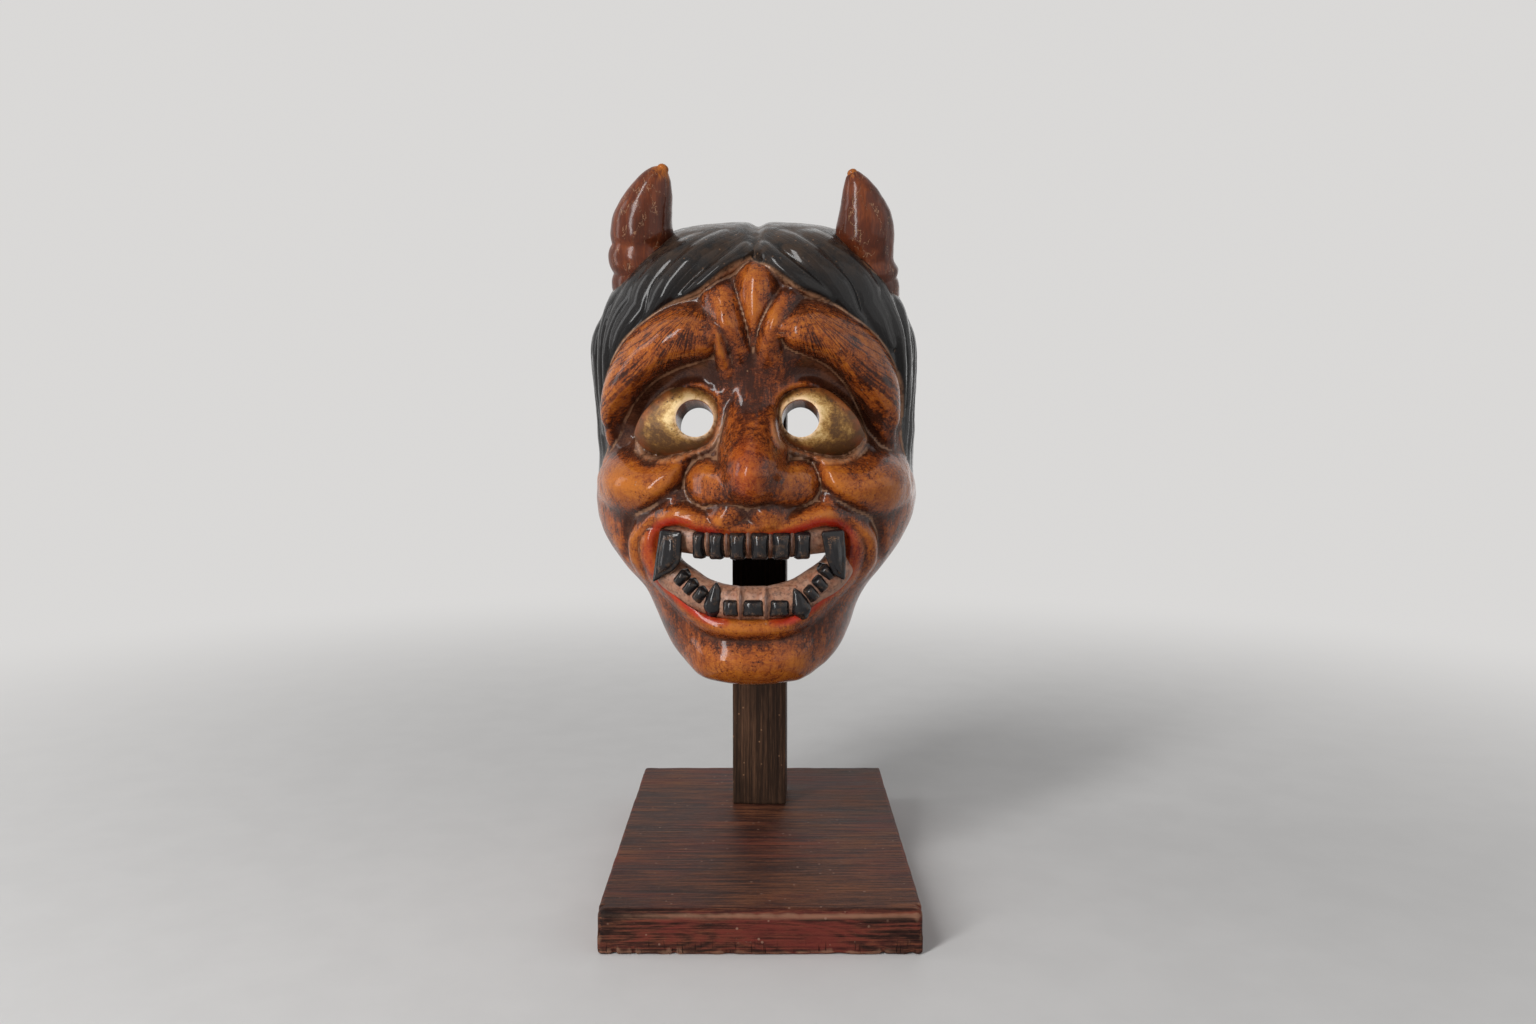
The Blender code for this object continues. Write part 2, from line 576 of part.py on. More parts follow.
def eye_plate_mesh(name, side, pupil_radius, grow, back, front, rings=4, spokes=24):
    """Domed plate that follows the eyeball, between two offsets from it, with or without a pupil."""
    bm = bmesh.new()
    bmesh.ops.create_grid(bm, x_segments=rings, y_segments=spokes, size=0.5)
    grid = np.array([vert.co for vert in bm.verts]) + 0.5
    angle = 2 * math.pi * grid[:, 1]
    reach = pupil_radius + (eye_reach(angle) + grow - pupil_radius) * grid[:, 0]
    x = PUPIL[0] + reach * np.cos(angle)
    z = PUPIL[1] + reach * np.sin(angle)
    place_vertices(bm, np.stack([EYE_SHIFT + side * x, eye_ball(x, z) + back, z], axis=1))
    bmesh.ops.remove_doubles(bm, verts=bm.verts, dist=1e-6)
    raised = bmesh.ops.extrude_face_region(bm, geom=bm.faces[:])
    moved = [item for item in raised["geom"] if isinstance(item, bmesh.types.BMVert)]
    bmesh.ops.translate(bm, verts=moved, vec=(0, (back - front) * MM, 0))
    bmesh.ops.recalc_face_normals(bm, faces=bm.faces)
    return finish_mesh(bm, name, 40)


def aim_down(root, tip):
    """Rotation that turns -Z from the root of a tooth towards its tip, in face coordinates."""
    run = Vector(to_scene(np.subtract(tip, root)))
    return run.to_track_quat("-Z", "Y").to_euler()


def add_empty(name, parent=None, location=(0, 0, 0), turn=0.0):
    """Empty that carries other objects."""
    empty = bpy.data.objects.new(name, None)
    empty.parent = parent
    empty.location = location
    empty.rotation_euler.z = turn
    PARTS.objects.link(empty)
    return empty


def build_base_board(wood):
    """Board with its front top edge well rounded, a mortise for the post and two screw holes."""
    bm = bmesh.new()
    bmesh.ops.create_cube(bm, size=1)
    bmesh.ops.scale(bm, verts=bm.verts, vec=Vector(BASE_SIZE) * MM)
    worn = [edge for edge in bm.edges if all(vert.co.y < 0 < vert.co.z for vert in edge.verts)]
    others = [edge for edge in bm.edges if edge not in worn]
    rounding = {"profile": 0.5, "affect": "EDGES", "material": -1}
    bmesh.ops.bevel(bm, geom=worn, offset=BASE_FRONT_ROUND * MM, segments=4, **rounding)
    others = [edge for edge in others if edge.is_valid]
    bmesh.ops.bevel(bm, geom=others, offset=BASE_ARRIS * MM, segments=2, **rounding)
    mesh = finish_mesh(bm, "base_board", 35)
    return add_part("base_board", mesh, wood, location=(0, 0, BASE_SIZE[2] / 2 * MM))


def build_post(wood, stand):
    """Square post on its shoulder, with a tenon below."""
    foot = BASE_SIZE[2] + GAP
    height = POST_TOP - foot
    shaft = box_mesh("post", (POST_SIDE, POST_SIDE, height), POST_ARRIS)
    post = add_part("post", shaft, wood, stand, (0, POST_SIDE / 2 * MM, (foot + height / 2) * MM))
    side = POST_SIDE - 2 * TENON_SHOULDER
    tenon = box_mesh("tenon", (side, side, 2 * TENON_LENGTH))
    boolean(post, add_cutter("tenon", tenon, stand, (0, POST_SIDE / 2 * MM, foot * MM)), "UNION")
    return post


def build_stand(woods, steel):
    """Base board, post, peg and screws, with the holes that join them."""
    stand = add_empty("stand_turn", None, (POST_X * MM, POST_FRONT_Y * MM, 0), STAND_TURN)
    board = build_base_board(woods["board"])
    post = build_post(woods["post"], stand)
    mortise = POST_SIDE - 2 * TENON_SHOULDER + 2 * GAP
    depth = TENON_LENGTH + GAP
    cutter = box_mesh("mortise", (mortise, mortise, depth + 4))
    place = (0, POST_SIDE / 2 * MM, (BASE_SIZE[2] - depth / 2 + 2) * MM)
    boolean(board, add_cutter("mortise", cutter, stand, place))
    build_peg(woods["post"], stand, post)
    head = SCREW_HEAD_RADIUS
    shank = SCREW_SHANK_RADIUS
    profile = [(0, 0.5), (head, 0.5), (head, 1), (shank, 3.4), (shank, SCREW_LENGTH - 4), (0, SCREW_LENGTH)]
    hole = [(0, -2), (head + GAP, -2), (head + GAP, 1.1), (shank + GAP, 3.6), (shank + GAP, SCREW_LENGTH + 1),
            (0, SCREW_LENGTH + 1)]
    for name, offset in (("post_screw_front", -SCREW_SPACING / 2), ("post_screw_back", SCREW_SPACING / 2)):
        place = (0, (POST_SIDE / 2 + offset) * MM, 0)
        screw = add_part(name, turned_mesh(name, profile), steel, stand, place)
        slot = add_cutter(name + "_slot", box_mesh("slot", (12, 1.1, 2.4)), stand, place)
        boolean(screw, slot)
        bore = add_cutter(name + "_hole", turned_mesh("screw_hole", hole), stand, place)
        boolean(board, bore)
        boolean(post, bore)
    return stand


def build_peg(wood, stand, post):
    """Dowel let into the post, rising forward into the forehead, with a rounded tip."""
    run = np.array([0, math.cos(PEG_RISE), math.sin(PEG_RISE)])
    root = np.array([0, 0, PEG_ROOT_Z])
    stations = [(-PEG_BORE_DEPTH, 1), (PEG_REACH - 6, 1), (PEG_REACH - 3, 0.87), (PEG_REACH - 1, 0.55),
                (PEG_REACH, 0.12)]
    rows = [(*(root + run * along), PEG_RADIUS * share) for along, share in stations]
    add_part("support_peg", tube_mesh("support_peg", rows, 16, 1), wood, stand)
    bore_rows = [(*(root + run * along), PEG_RADIUS + GAP) for along in (-PEG_BORE_DEPTH - GAP, 20)]
    boolean(post, add_cutter("peg_bore", tube_mesh("peg_bore", bore_rows, 16, 1), stand))


def build_shell(lacquer, carrier, offset):
    """Carved shell: the face, its hollow, mouth, gums, sockets and holes."""
    def smooth(lat, lon, rim):
        return face_form(lat, lon)

    bm, rim = half_form(FORM_COLUMNS, FORM_ROWS, smooth)
    bm.normal_update()
    form = np.array([vert.co for vert in bm.verts]) / (MM, -MM, MM)
    normals = np.array([vert.normal for vert in bm.verts]) * (1, -1, 1)
    normals[rim, 1] = 0
    normals /= np.linalg.norm(normals, axis=1, keepdims=True)
    carved = carve(form, normals)
    place_vertices(bm, carved)
    bm = thin_out(bm, SHELL_KEEP)
    close_back(bm, RIM_STAND_OFF)
    shell = add_part("mask_shell", finish_mesh(bm, "mask_shell", 50), lacquer, carrier, offset)
    cut_hollow(shell, carrier, offset)
    fill_mouth(shell, carrier, offset)
    for side, word in ((-1, "left"), (1, "right")):
        seat = eye_plate_mesh("eye_seat", side, 0, GAP, -GAP, 25)
        boolean(shell, add_cutter("eye_seat_" + word, seat, carrier, offset))
        pupil = np.array([EYE_SHIFT + side * PUPIL[0], 55, PUPIL[1] - 3])
        place = offset + Vector(to_scene(pupil))
        bore = cylinder_mesh("pupil_bore", PUPIL_RADIUS, 60)
        turn = (math.pi / 2 - PUPIL_DROP, 0, 0)
        boolean(shell, add_cutter("pupil_bore_" + word, bore, carrier, place, turn))
        hole = cylinder_mesh("cord_hole", CORD_HOLE_RADIUS, 50, 12)
        place = offset + Vector(to_scene(np.array(CORD_HOLE) * (side, 1, 1)))
        boolean(shell, add_cutter("cord_hole_" + word, hole, carrier, place, (0, math.pi / 2, 0)))
    return shell


def cut_hollow(shell, carrier, offset):
    """Opens the shell from behind, with a smooth inside."""
    def hollow(lat, lon, rim):
        return face_form(lat, lon, HOLLOW_WIDTH_SHARE, HOLLOW_DEPTH_SHARE, HOLLOW_WALL_TOP, HOLLOW_WALL_CHIN)

    bm, _ = half_form(20, 26, hollow)
    close_back(bm, -8)
    boolean(shell, add_cutter("hollow", finish_mesh(bm, "hollow"), carrier, offset))


def fill_mouth(shell, carrier, offset):
    """Cuts the mouth right through, then bridges it with the upper and lower gums."""
    opening = outline_mesh("mouth", closed_outline(MOUTH_OUTLINE), 30, 120)
    boolean(shell, add_cutter("mouth", opening, carrier, offset))
    gums = (("upper_gum", UPPER_GUM, GUM_RADII[0]), ("lower_gum", LOWER_GUM, GUM_RADII[1]))
    for name, half, radius in gums:
        left = [(-x, q, z) for x, q, z in half[:0:-1]]
        rows = [(*point, radius) for point in left + half]
        gum = add_cutter(name, tube_mesh(name, rows, 12, 2), carrier, offset)
        boolean(shell, gum, "UNION")


def build_eyes(gilt, carrier, offset):
    """Thin gilt plates on the eyeballs."""
    for side, word in ((-1, "left"), (1, "right")):
        name = "eye_plate_" + word
        add_part(name, eye_plate_mesh(name, side, PUPIL_RADIUS, 0, 0, PLATE_THICKNESS), gilt, carrier, offset)


def build_horns(horn_lacquer, shell, carrier, offset):
    """Horns whose roots are let into the crown, in sockets of the same shape."""
    def core(inset):
        share = 1 - inset / 70

        def place(lat, lon, rim):
            return face_form(lat, lon, share, share, inset, inset)

        bm, _ = half_form(28, 36, place)
        close_back(bm, 0)
        name = f"horn_floor_{inset:.0f}"
        return add_cutter(name, finish_mesh(bm, name), carrier, offset)

    floor = core(HORN_SEAT_DEPTH)
    socket_floor = core(HORN_SEAT_DEPTH + 1)
    for word, rows in HORNS.items():
        name = "horn_" + word
        horn = add_part(name, tube_mesh(name, rows, 16, 2), horn_lacquer, carrier, offset)
        boolean(horn, floor)
        grown = [(x, q, z, radius + GAP + 0.1) for x, q, z, radius in rows]
        socket = add_cutter(name + "_socket", tube_mesh("socket", grown, 16, 2), carrier, offset)
        boolean(socket, socket_floor)
        boolean(shell, socket)


def build_teeth(black, shell, carrier, offset):
    """Blackened teeth, each in its own socket in the gums."""
    sockets = bpy.data.collections.new("tooth_sockets")
    CUTTERS.children.link(sockets)

    def add_tooth(name, make, place, rotation):
        where = offset + Vector(to_scene(np.array(place)))
        add_part(name, make(name, 0), black, carrier, where, rotation)
        add_cutter(name + "_socket", make(name + "_socket", GAP), carrier, where, rotation, sockets)

    def add_block(name, place, size, taper=1.0, roll=0.0):
        def make(mesh_name, grow):
            bevel = 0 if grow else TOOTH_BEVEL
            return box_mesh(mesh_name, [side + 2 * grow for side in size], bevel, taper)

        turn = math.atan(2 * TOOTH_ARC * place[0])
        add_tooth(name, make, place, (0, roll, turn))

    def add_point(name, root, tip, radii, flatness):
        length = math.dist(root, tip)

        def make(mesh_name, grow):
            return cone_mesh(mesh_name, radii, length, flatness, grow)

        add_tooth(name, make, root, aim_down(root, tip))

    def add_blade(name, outline):
        def make(mesh_name, grow):
            return blade_mesh(mesh_name, outline, grow)

        add_tooth(name, make, (0, 0, 0), (0, 0, 0))

    for number, (x, width) in enumerate(UPPER_TEETH, 1):
        place = (x, UPPER_TOOTH_Q - TOOTH_ARC * x * x, UPPER_TOOTH_Z)
        add_block(f"upper_tooth_{number}", place, (width, UPPER_TOOTH_DEPTH, UPPER_TOOTH_HEIGHT), 0.9)
    for number, (x, width) in enumerate(LOWER_INCISORS, 1):
        place = (x, INCISOR_Q - TOOTH_ARC * x * x, INCISOR_Z)
        add_block(f"lower_incisor_{number}", place, (width, INCISOR_DEPTH, INCISOR_HEIGHT))
    for side, word in ((-1, "left"), (1, "right")):
        add_blade("upper_fang_" + word, FANGS[word])
        add_point("lower_canine_" + word, *CANINES[word], CANINE_RADII, 0.9)
        for number, place in enumerate(MOLARS[word], 1):
            add_block(f"lower_molar_{word}_{number}", place, MOLAR_SIZE, roll=-side * MOLAR_ROLL)
    boolean(shell, sockets)


def build_mask(stand, lacquer, horn_lacquer, gilt, black):
    """Mask and everything fixed to it, carried on the axis of the peg."""
    tip = Vector((0, -math.cos(PEG_RISE), math.sin(PEG_RISE))) * PEG_REACH
    tip.z += PEG_ROOT_Z
    carrier = add_empty("mask_carrier", stand, tip * MM)
    offset = Vector((0, 0, EYE_LINE_Z)) * MM - carrier.location
    shell = build_shell(lacquer, carrier, offset)
    build_eyes(gilt, carrier, offset)
    build_horns(horn_lacquer, shell, carrier, offset)
    build_teeth(black, shell, carrier, offset)


def main():
    for old in list(bpy.data.objects):
        bpy.data.objects.remove(old)
    bpy.context.scene.collection.children.link(PARTS)
    bpy.context.scene.collection.children.link(CUTTERS)
    woods = {
        "board": make_material("stained_board", (0.075, 0.025, 0.02), 0.5),
        "post": make_material("dark_post", (0.045, 0.025, 0.018), 0.55),
    }
    steel = make_material("steel_screw", (0.5, 0.48, 0.45), 0.35, 1.0)
    lacquer = make_material("red_brown_lacquer", (0.26, 0.07, 0.018), 0.3)
    horn_lacquer = make_material("horn_lacquer", (0.09, 0.022, 0.012), 0.35)
    gilt = make_material("tarnished_gilt", (0.42, 0.28, 0.09), 0.4, 0.8)
    black = make_material("tooth_black", (0.015, 0.014, 0.013), 0.25)
    stand = build_stand(woods, steel)
    build_mask(stand, lacquer, horn_lacquer, gilt, black)


main()
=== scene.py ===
"""Looks of a carved demon mask of the noh stage, hung on its wooden stand.

The tables are in millimetres and are scaled by MM. Left and right are the viewer's, looking at the face.
Face coordinates are x to the right, q forward from the post's front and z up from the eye line.
"""

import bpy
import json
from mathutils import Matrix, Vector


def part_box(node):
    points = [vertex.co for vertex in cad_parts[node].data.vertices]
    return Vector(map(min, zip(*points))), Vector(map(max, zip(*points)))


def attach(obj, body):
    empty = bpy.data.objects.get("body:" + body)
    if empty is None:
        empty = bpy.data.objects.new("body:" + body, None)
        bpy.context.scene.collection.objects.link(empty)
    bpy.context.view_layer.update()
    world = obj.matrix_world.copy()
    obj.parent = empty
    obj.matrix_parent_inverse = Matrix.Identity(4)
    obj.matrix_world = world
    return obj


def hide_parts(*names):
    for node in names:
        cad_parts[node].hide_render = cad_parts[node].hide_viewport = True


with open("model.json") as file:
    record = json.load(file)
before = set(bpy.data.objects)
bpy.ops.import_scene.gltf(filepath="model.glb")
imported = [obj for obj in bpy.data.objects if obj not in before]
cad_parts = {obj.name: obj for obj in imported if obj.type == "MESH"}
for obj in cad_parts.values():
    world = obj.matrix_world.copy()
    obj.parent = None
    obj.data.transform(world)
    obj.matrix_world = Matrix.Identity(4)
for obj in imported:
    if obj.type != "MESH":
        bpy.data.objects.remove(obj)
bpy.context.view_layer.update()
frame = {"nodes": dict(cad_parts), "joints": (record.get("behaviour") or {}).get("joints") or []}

import json
import math

import bmesh
import bpy
import numpy as np
from bpy.props import FloatProperty, FloatVectorProperty, IntProperty, PointerProperty
from mathutils import Matrix, Vector, kdtree, noise

bl_info = {
    "name": "Noh Mask",
    "version": (1, 0, 0),
    "blender": (4, 5, 0),
    "location": "3D View > Sidebar > Noh Mask",
    "description": "Carves and paints a noh mask and its stand around the packed model",
    "category": "Object",
}

MM = 0.001

# Where the face sits: the post's box and the slide's axis give the turn and the origin
SLIDE_AXIS = frame["joints"][0]["axis"]
STAND_TURN = math.atan2(SLIDE_AXIS[0], -SLIDE_AXIS[1])
POST_SIDE = 26.0
POST_CENTRE = (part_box("post")[0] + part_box("post")[1]) / 2
EYE_LINE_Z = 205.0
STAND_PLACE = Matrix.Translation((POST_CENTRE.x, POST_CENTRE.y, 0)) @ Matrix.Rotation(STAND_TURN, 4, "Z")
TO_ROW = STAND_PLACE @ Matrix.Translation((0, -POST_SIDE / 2 * MM, EYE_LINE_Z * MM))

# Overall form of the face: half widths, left and right, and depth by latitude
CROWN_RISE = 88.5
CHIN_DROP = 112.7
SECTION_POWER = 2.4
CHIN_UNDERCUT, UNDERCUT_DEPTH, UNDERCUT_START, UNDERCUT_FADE = 7.0, 60, 55, 15
MEAN_REACH = 70
RIM_DEPTH = 0.4
HALF_WIDTH = [
    (-90, 0, 0), (-83, 23, 26), (-75, 32, 35), (-65, 39.5, 40.6), (-56, 44.3, 44), (-47.5, 49, 47.4),
    (-41, 54, 52.4), (-34.7, 63.4, 60.4), (-26.4, 73, 69.8), (-18.7, 76.6, 74.6), (-12, 75.8, 73.7),
    (0, 73.4, 71.2), (23, 75.7, 71.8), (33, 70.2, 67.6), (41, 64.6, 63), (52, 57.4, 57), (66, 48, 48),
    (75, 37, 37), (83, 24, 24), (90, 0, 0),
]
FRONT_DEPTH = [
    (-90, 0), (-85, 40), (-80, 59), (-74, 70), (-63, 78), (-47, 78), (-29, 76), (-13, 68), (0, 67),
    (11, 70), (26, 74), (39, 72), (50, 67), (60, 58), (75, 38), (83, 20), (90, 0),
]
HOLLOW_SHARES = (0.86, 0.79)
HOLLOW_WALLS = (13.0, 12.0)
HOLLOW_OVERSHOOT = 8
HOLLOW_GRID = (70, 80)

# Marks of the tools and of wear: height, feature size and, where they need one, seed
MARK_SIZE = 7.0
GOUGES = (0.5, 9.0, 3.0)
GUM_MARKS, PLATE_MARKS = (0.25, 3.0, 5.0), (0.12, 3.5, 2.0)
TOOTH_MARKS, CANINE_MARKS, FANG_MARKS = (0.12, 2.0), (0.15, 2.5), (0.25, 3.0)
HORN_SWELL, HORN_MARKS = (0.35, 12.0), (0.12, 3.5)
BROAD_WEAR, FINE_WEAR, POST_WEAR = (1.0, 14.0), (0.6, 3.5, 4.0), (1.0, 9.0, 7.0)

# Where the carving turns from forward to outward, as start and fade
CROWN_EDGE, CHIN_EDGE, SIDE_EDGE = (45, 15), (98, 10), (42, 18)

# Carving strokes: rows are x, z, radius, height. A stroke lies on both sides, on the left or as it stands.
# Broad forms add up, and the nose blends with its wings. Of the folds the highest shows; each has a power
# for its profile. A brow's lower flank takes a share of the radius, and its lines fan out from a point.
FORM_POWER, LOCK_POWER, UPPER_BROW, LOWER_BROW = 2.0, 0.7, 1.5, 0.75
BROW_UNDERCUT = 0.25
BROW_FANS = ((-19.4, 53.5), (20.0, 52.0))
FAN_SCALE = 20
NOSE_BLEND = 4
FORMS = [
    ("brow shelf", "both",
     [(15, 40, 11, 3), (30, 40, 13, 5), (43, 32, 13, 5), (52, 20, 11, 4), (59, 4, 8, 2)]),
    ("eye socket", "both",
     [(17, 18, 7, -2), (22, 22, 8, -4.5), (31, 20.5, 9, -6), (42, 12, 9, -6.5), (51, 1, 8, -5),
      (57, -8, 5, -2.5)]),
    ("nose base", "centre", [(1, 8, 15, 2.5), (1, -4, 20, 6), (1, -18, 27, 10)]),
    ("cheek base", "both", [(62, -26, 14, 3), (50, -27, 19, 6), (36, -26, 15, 6)]),
    ("muzzle", "both", [(0, -36, 13, 6), (14, -36, 13, 6), (32, -38, 12, 4)]),
    ("fold groove", "both",
     [(33, -27, 3, -1.5), (46, -38, 4, -2.5), (54, -46, 4.5, -2.5), (56, -57, 4, -1.5)]),
    ("lip groove", "both", [(0, -93, 7, -1.2), (14, -92, 7, -1.2), (26, -87, 7, -1), (37, -78, 5, -0.6)]),
    ("chin boss", "both", [(0, -103, 15, 4), (18, -102, 14, 4)]),
]
LEFT_BROW = [
    (14.5, 32.4, 6, 5), (18.8, 32, 15, 9), (26, 31.4, 20, 10.5), (33.5, 29.8, 22, 11), (44, 24.2, 20, 11),
    (52.6, 14.9, 15, 10), (58, 5.4, 10, 8), (62, -4.6, 6, 4.5), (64.5, -10, 2.5, 1),
]
RIGHT_BROW = [
    (14.5, 37, 6, 5), (18.8, 35.6, 15, 9), (26, 34, 20, 10.5), (35.5, 30.2, 22, 11), (43.8, 21.8, 20, 11),
    (48.8, 11.6, 16, 10), (52.4, 3.4, 12, 8), (57, -5, 7, 4.5), (60.5, -10, 3, 1),
]
NOSE_FOLDS = [
    ("nose", "centre", 0.75,
     [(0.4, 13, 7, 0.3), (0.4, 8, 8.8, 2.4), (0.4, 3, 10.8, 6.2), (0.8, -3, 13, 11.4),
      (1, -9, 14.6, 16.8), (1, -14, 15.2, 21), (1.2, -18.6, 15.4, 22.5)]),
    ("left wing", "left", 0.7, [(4, -24.4, 9.4, 11), (12, -24.2, 9.5, 12.2), (18.6, -24, 9.8, 11.6)]),
    ("right wing", "centre", 0.7, [(6, -24.4, 9.4, 11), (13, -24.2, 9.5, 12.2), (19.8, -24, 9.8, 11.6)]),
]
FOLDS = [
    ("forehead drop", "centre", 1.0,
     [(2.4, 68, 5, 2), (2.8, 61, 9, 5.5), (2.6, 54.5, 8.6, 6.5), (2.2, 47.5, 6, 6), (1.8, 41.5, 4, 4.5),
      (1.6, 35, 2.5, 2)]),
    ("left fold", "left", 1.0,
     [(15, 59, 6, 2), (12.8, 52.5, 8.4, 5), (9.8, 46, 7.6, 7), (7, 39.5, 6.6, 7), (5, 32.5, 5.6, 4.5),
      (4, 25, 5, 0.5)]),
    ("small fold", "left", 1.0,
     [(16.5, 44.5, 2, 3), (13.6, 38, 3.4, 6.5), (12, 31, 3.8, 6.5), (10.5, 23, 3.8, 1.5)]),
    ("right fold", "centre", 1.0,
     [(19, 56, 5, 2), (13.8, 49.5, 6.2, 5), (10, 43.5, 6, 7), (8, 37, 6.2, 7), (8.2, 30.5, 6, 4.5),
      (9, 24, 5, 0.5)]),
    ("cheek roll", "both", 1.2,
     [(68, -24, 10, 0.6), (61, -24.5, 13, 5), (51, -25.5, 14, 9), (43, -24.5, 12, 9.5), (36, -20.5, 8.4, 8),
      (31, -16, 5.6, 6), (26, -12.8, 3.2, 2)]),
    ("left lip lobe", "left", 1.4, [(10, -36.5, 10, 5), (11.5, -40.5, 10, 6)]),
    ("right lip lobe", "centre", 1.4, [(8, -37, 10, 5), (9, -41, 10, 6)]),
    ("lip edge", "both", 1.2,
     [(0, -44, 5, 4.2), (8, -44, 5.4, 4.8), (15, -42.8, 5.6, 5), (22, -40.6, 6, 5), (29, -38.2, 6.2, 5.4),
      (35, -38.6, 6, 5), (41, -41.2, 5, 4), (45.5, -45.5, 4, 2.5)]),
    ("outer mouth fold", "both", 1.2,
     [(33, -31, 4, 1.5), (40, -36, 5, 3.5), (46.5, -42.5, 5.6, 4.8), (51, -50, 5, 4.4), (51, -58, 4.4, 3),
      (48, -67, 3, 0.8)]),
    ("mouth corner", "both", 1.2,
     [(40, -42, 3, 2), (44.6, -47.5, 5, 4.4), (45, -56, 5, 4), (42, -66, 4.4, 3)]),
    ("lower lip", "both", 1.2,
     [(0, -85, 5.8, 5.5), (10, -84.9, 5.8, 5.5), (18, -83.4, 5.8, 5.5), (26, -79, 5.8, 5.2),
      (33, -73.5, 5.2, 4.8), (40, -67.5, 4.4, 4), (44, -62, 3, 2)]),
]

# Hair: its front edge, its locks, the parting between them and the strands at the temples
HAIRLINE = [(-3, 72), (1.5, 68), (8, 64), (20, 56), (34, 51), (48, 42), (57.5, 30), (62.5, 18), (64.5, 3),
            (65.5, -6), (68, -14), (71.5, -20), (82, -23)]
HAIR_EDGE = 2.0
LOCKS = [
    ("left", [(0.2, 75.5, 2.2, 0.8), (3, 70.5, 4, 2.6), (8, 65.4, 5, 4), (15, 60.6, 4.6, 4),
              (22.4, 57, 2.4, 2.2), (26, 55, 1.5, 0.8)]),
    ("left", [(7.5, 80, 3, 0.6), (13.6, 76.6, 4.6, 2), (21.7, 70, 5.2, 3.6), (30, 62, 5, 4),
              (36.6, 55.4, 4.4, 3.6), (42.4, 49.8, 2.6, 2), (45, 47, 1.5, 0.8)]),
    ("left", [(19, 80.5, 3, 0.6), (26.9, 74.5, 4.8, 2), (35.3, 67.4, 5.2, 3.4), (44, 57, 5, 3.8),
              (50.8, 46.6, 4.2, 3.4), (56.8, 36, 3, 2.4), (60, 28, 2, 1)]),
    ("left", [(31, 77.5, 3, 0.6), (39.5, 70, 4.6, 2), (47.1, 61, 4.8, 3.2), (53.8, 51.5, 4.4, 3.4),
              (58.6, 41, 3, 3), (61.6, 30, 2.4, 2.8), (63.6, 18, 1.9, 2.2), (64.6, 6, 1.5, 1.4)]),
    ("left", [(48, 65, 3, 0.8), (56.1, 57.4, 3.6, 2.4), (61.8, 48, 2.9, 3), (65.4, 37, 2.5, 3),
              (67.2, 24, 2, 2.8), (67.8, 10, 1.9, 2.4), (67.6, -4, 1.7, 1.6)]),
    ("left", [(58, 61, 2.2, 0.8), (64.4, 54.4, 2.6, 2.2), (69.2, 44, 2.6, 3), (71.4, 31, 2.2, 3),
              (71.4, 15, 1.9, 2.8), (70.8, 0, 1.8, 2.2), (70, -12, 1.6, 1)]),
    ("left", [(69, 53, 2, 0.6), (73.6, 41, 1.9, 2.4), (75.2, 27, 1.8, 2.6), (75, 10, 1.8, 2.4),
              (74.4, -6, 1.8, 1.4)]),
    ("centre", [(2.6, 76, 2.2, 0.8), (4.8, 72.4, 3.4, 2.2), (12.1, 65, 5, 4), (20.3, 59, 4.8, 4),
                (29.7, 54.6, 2.6, 2.2), (34, 52, 1.5, 0.8)]),
    ("centre", [(9, 80.5, 3, 0.6), (13.9, 77, 4.4, 1.8), (24.4, 68.4, 5.4, 3.6), (33.8, 59.2, 5, 4),
                (42.3, 50, 3.4, 2.8), (47, 44.6, 1.8, 1)]),
    ("centre", [(20, 82, 3, 0.6), (27.5, 77, 4.8, 2), (38.1, 68.2, 5.4, 3.4), (47.7, 56, 5, 3.8),
                (53.3, 44.6, 3.8, 3), (57.6, 34.6, 2.4, 1.6)]),
    ("centre", [(44, 70, 3, 0.8), (51.5, 60, 3.6, 2.6), (57.6, 46, 3, 3.2), (61.8, 32, 2.4, 3),
                (63.8, 18, 2, 2.4), (64.6, 4, 1.6, 1.4)]),
    ("centre", [(53.8, 60, 3, 1.2), (62, 48.4, 2.6, 3), (66, 35, 2.2, 3), (67.6, 20, 1.9, 2.8),
                (68, 5, 1.8, 2.2), (67.8, -8, 1.6, 1.2)]),
    ("centre", [(62, 56, 2, 0.6), (67.6, 45.6, 2.3, 2.4), (70.2, 33, 2, 2.8), (71.2, 18, 1.8, 2.6),
                (71, 2, 1.7, 2), (70.6, -10, 1.6, 1)]),
]
PARTING, PARTING_DEPTH, PARTING_WIDTH = 1.4, 2.2, 3
PARTING_FADE, CROWN_FADE = (62, 10), (68, 10)
CROWN_SWELL = 0.8
SIDE_THINNING = ((2.4, 60, 8), (0.8, 69, 5))
SIDE_STRAND, STRAND_BEND, STRAND_MIDDLE, STRAND_SHIFT = 6.5, 0.0022, 20, 40
SIDE_SWELL, SIDE_SINK = 2.0, 2.2
TEMPLE_DEPTH, TEMPLE_TOP = 34, 64
TEMPLE_FADES = (10, 20)
SIDE_DROP, SIDE_FADE = 0.4, (60, 6)
HAIR_TAPER = 24
HAIR_SHARE = 0.4

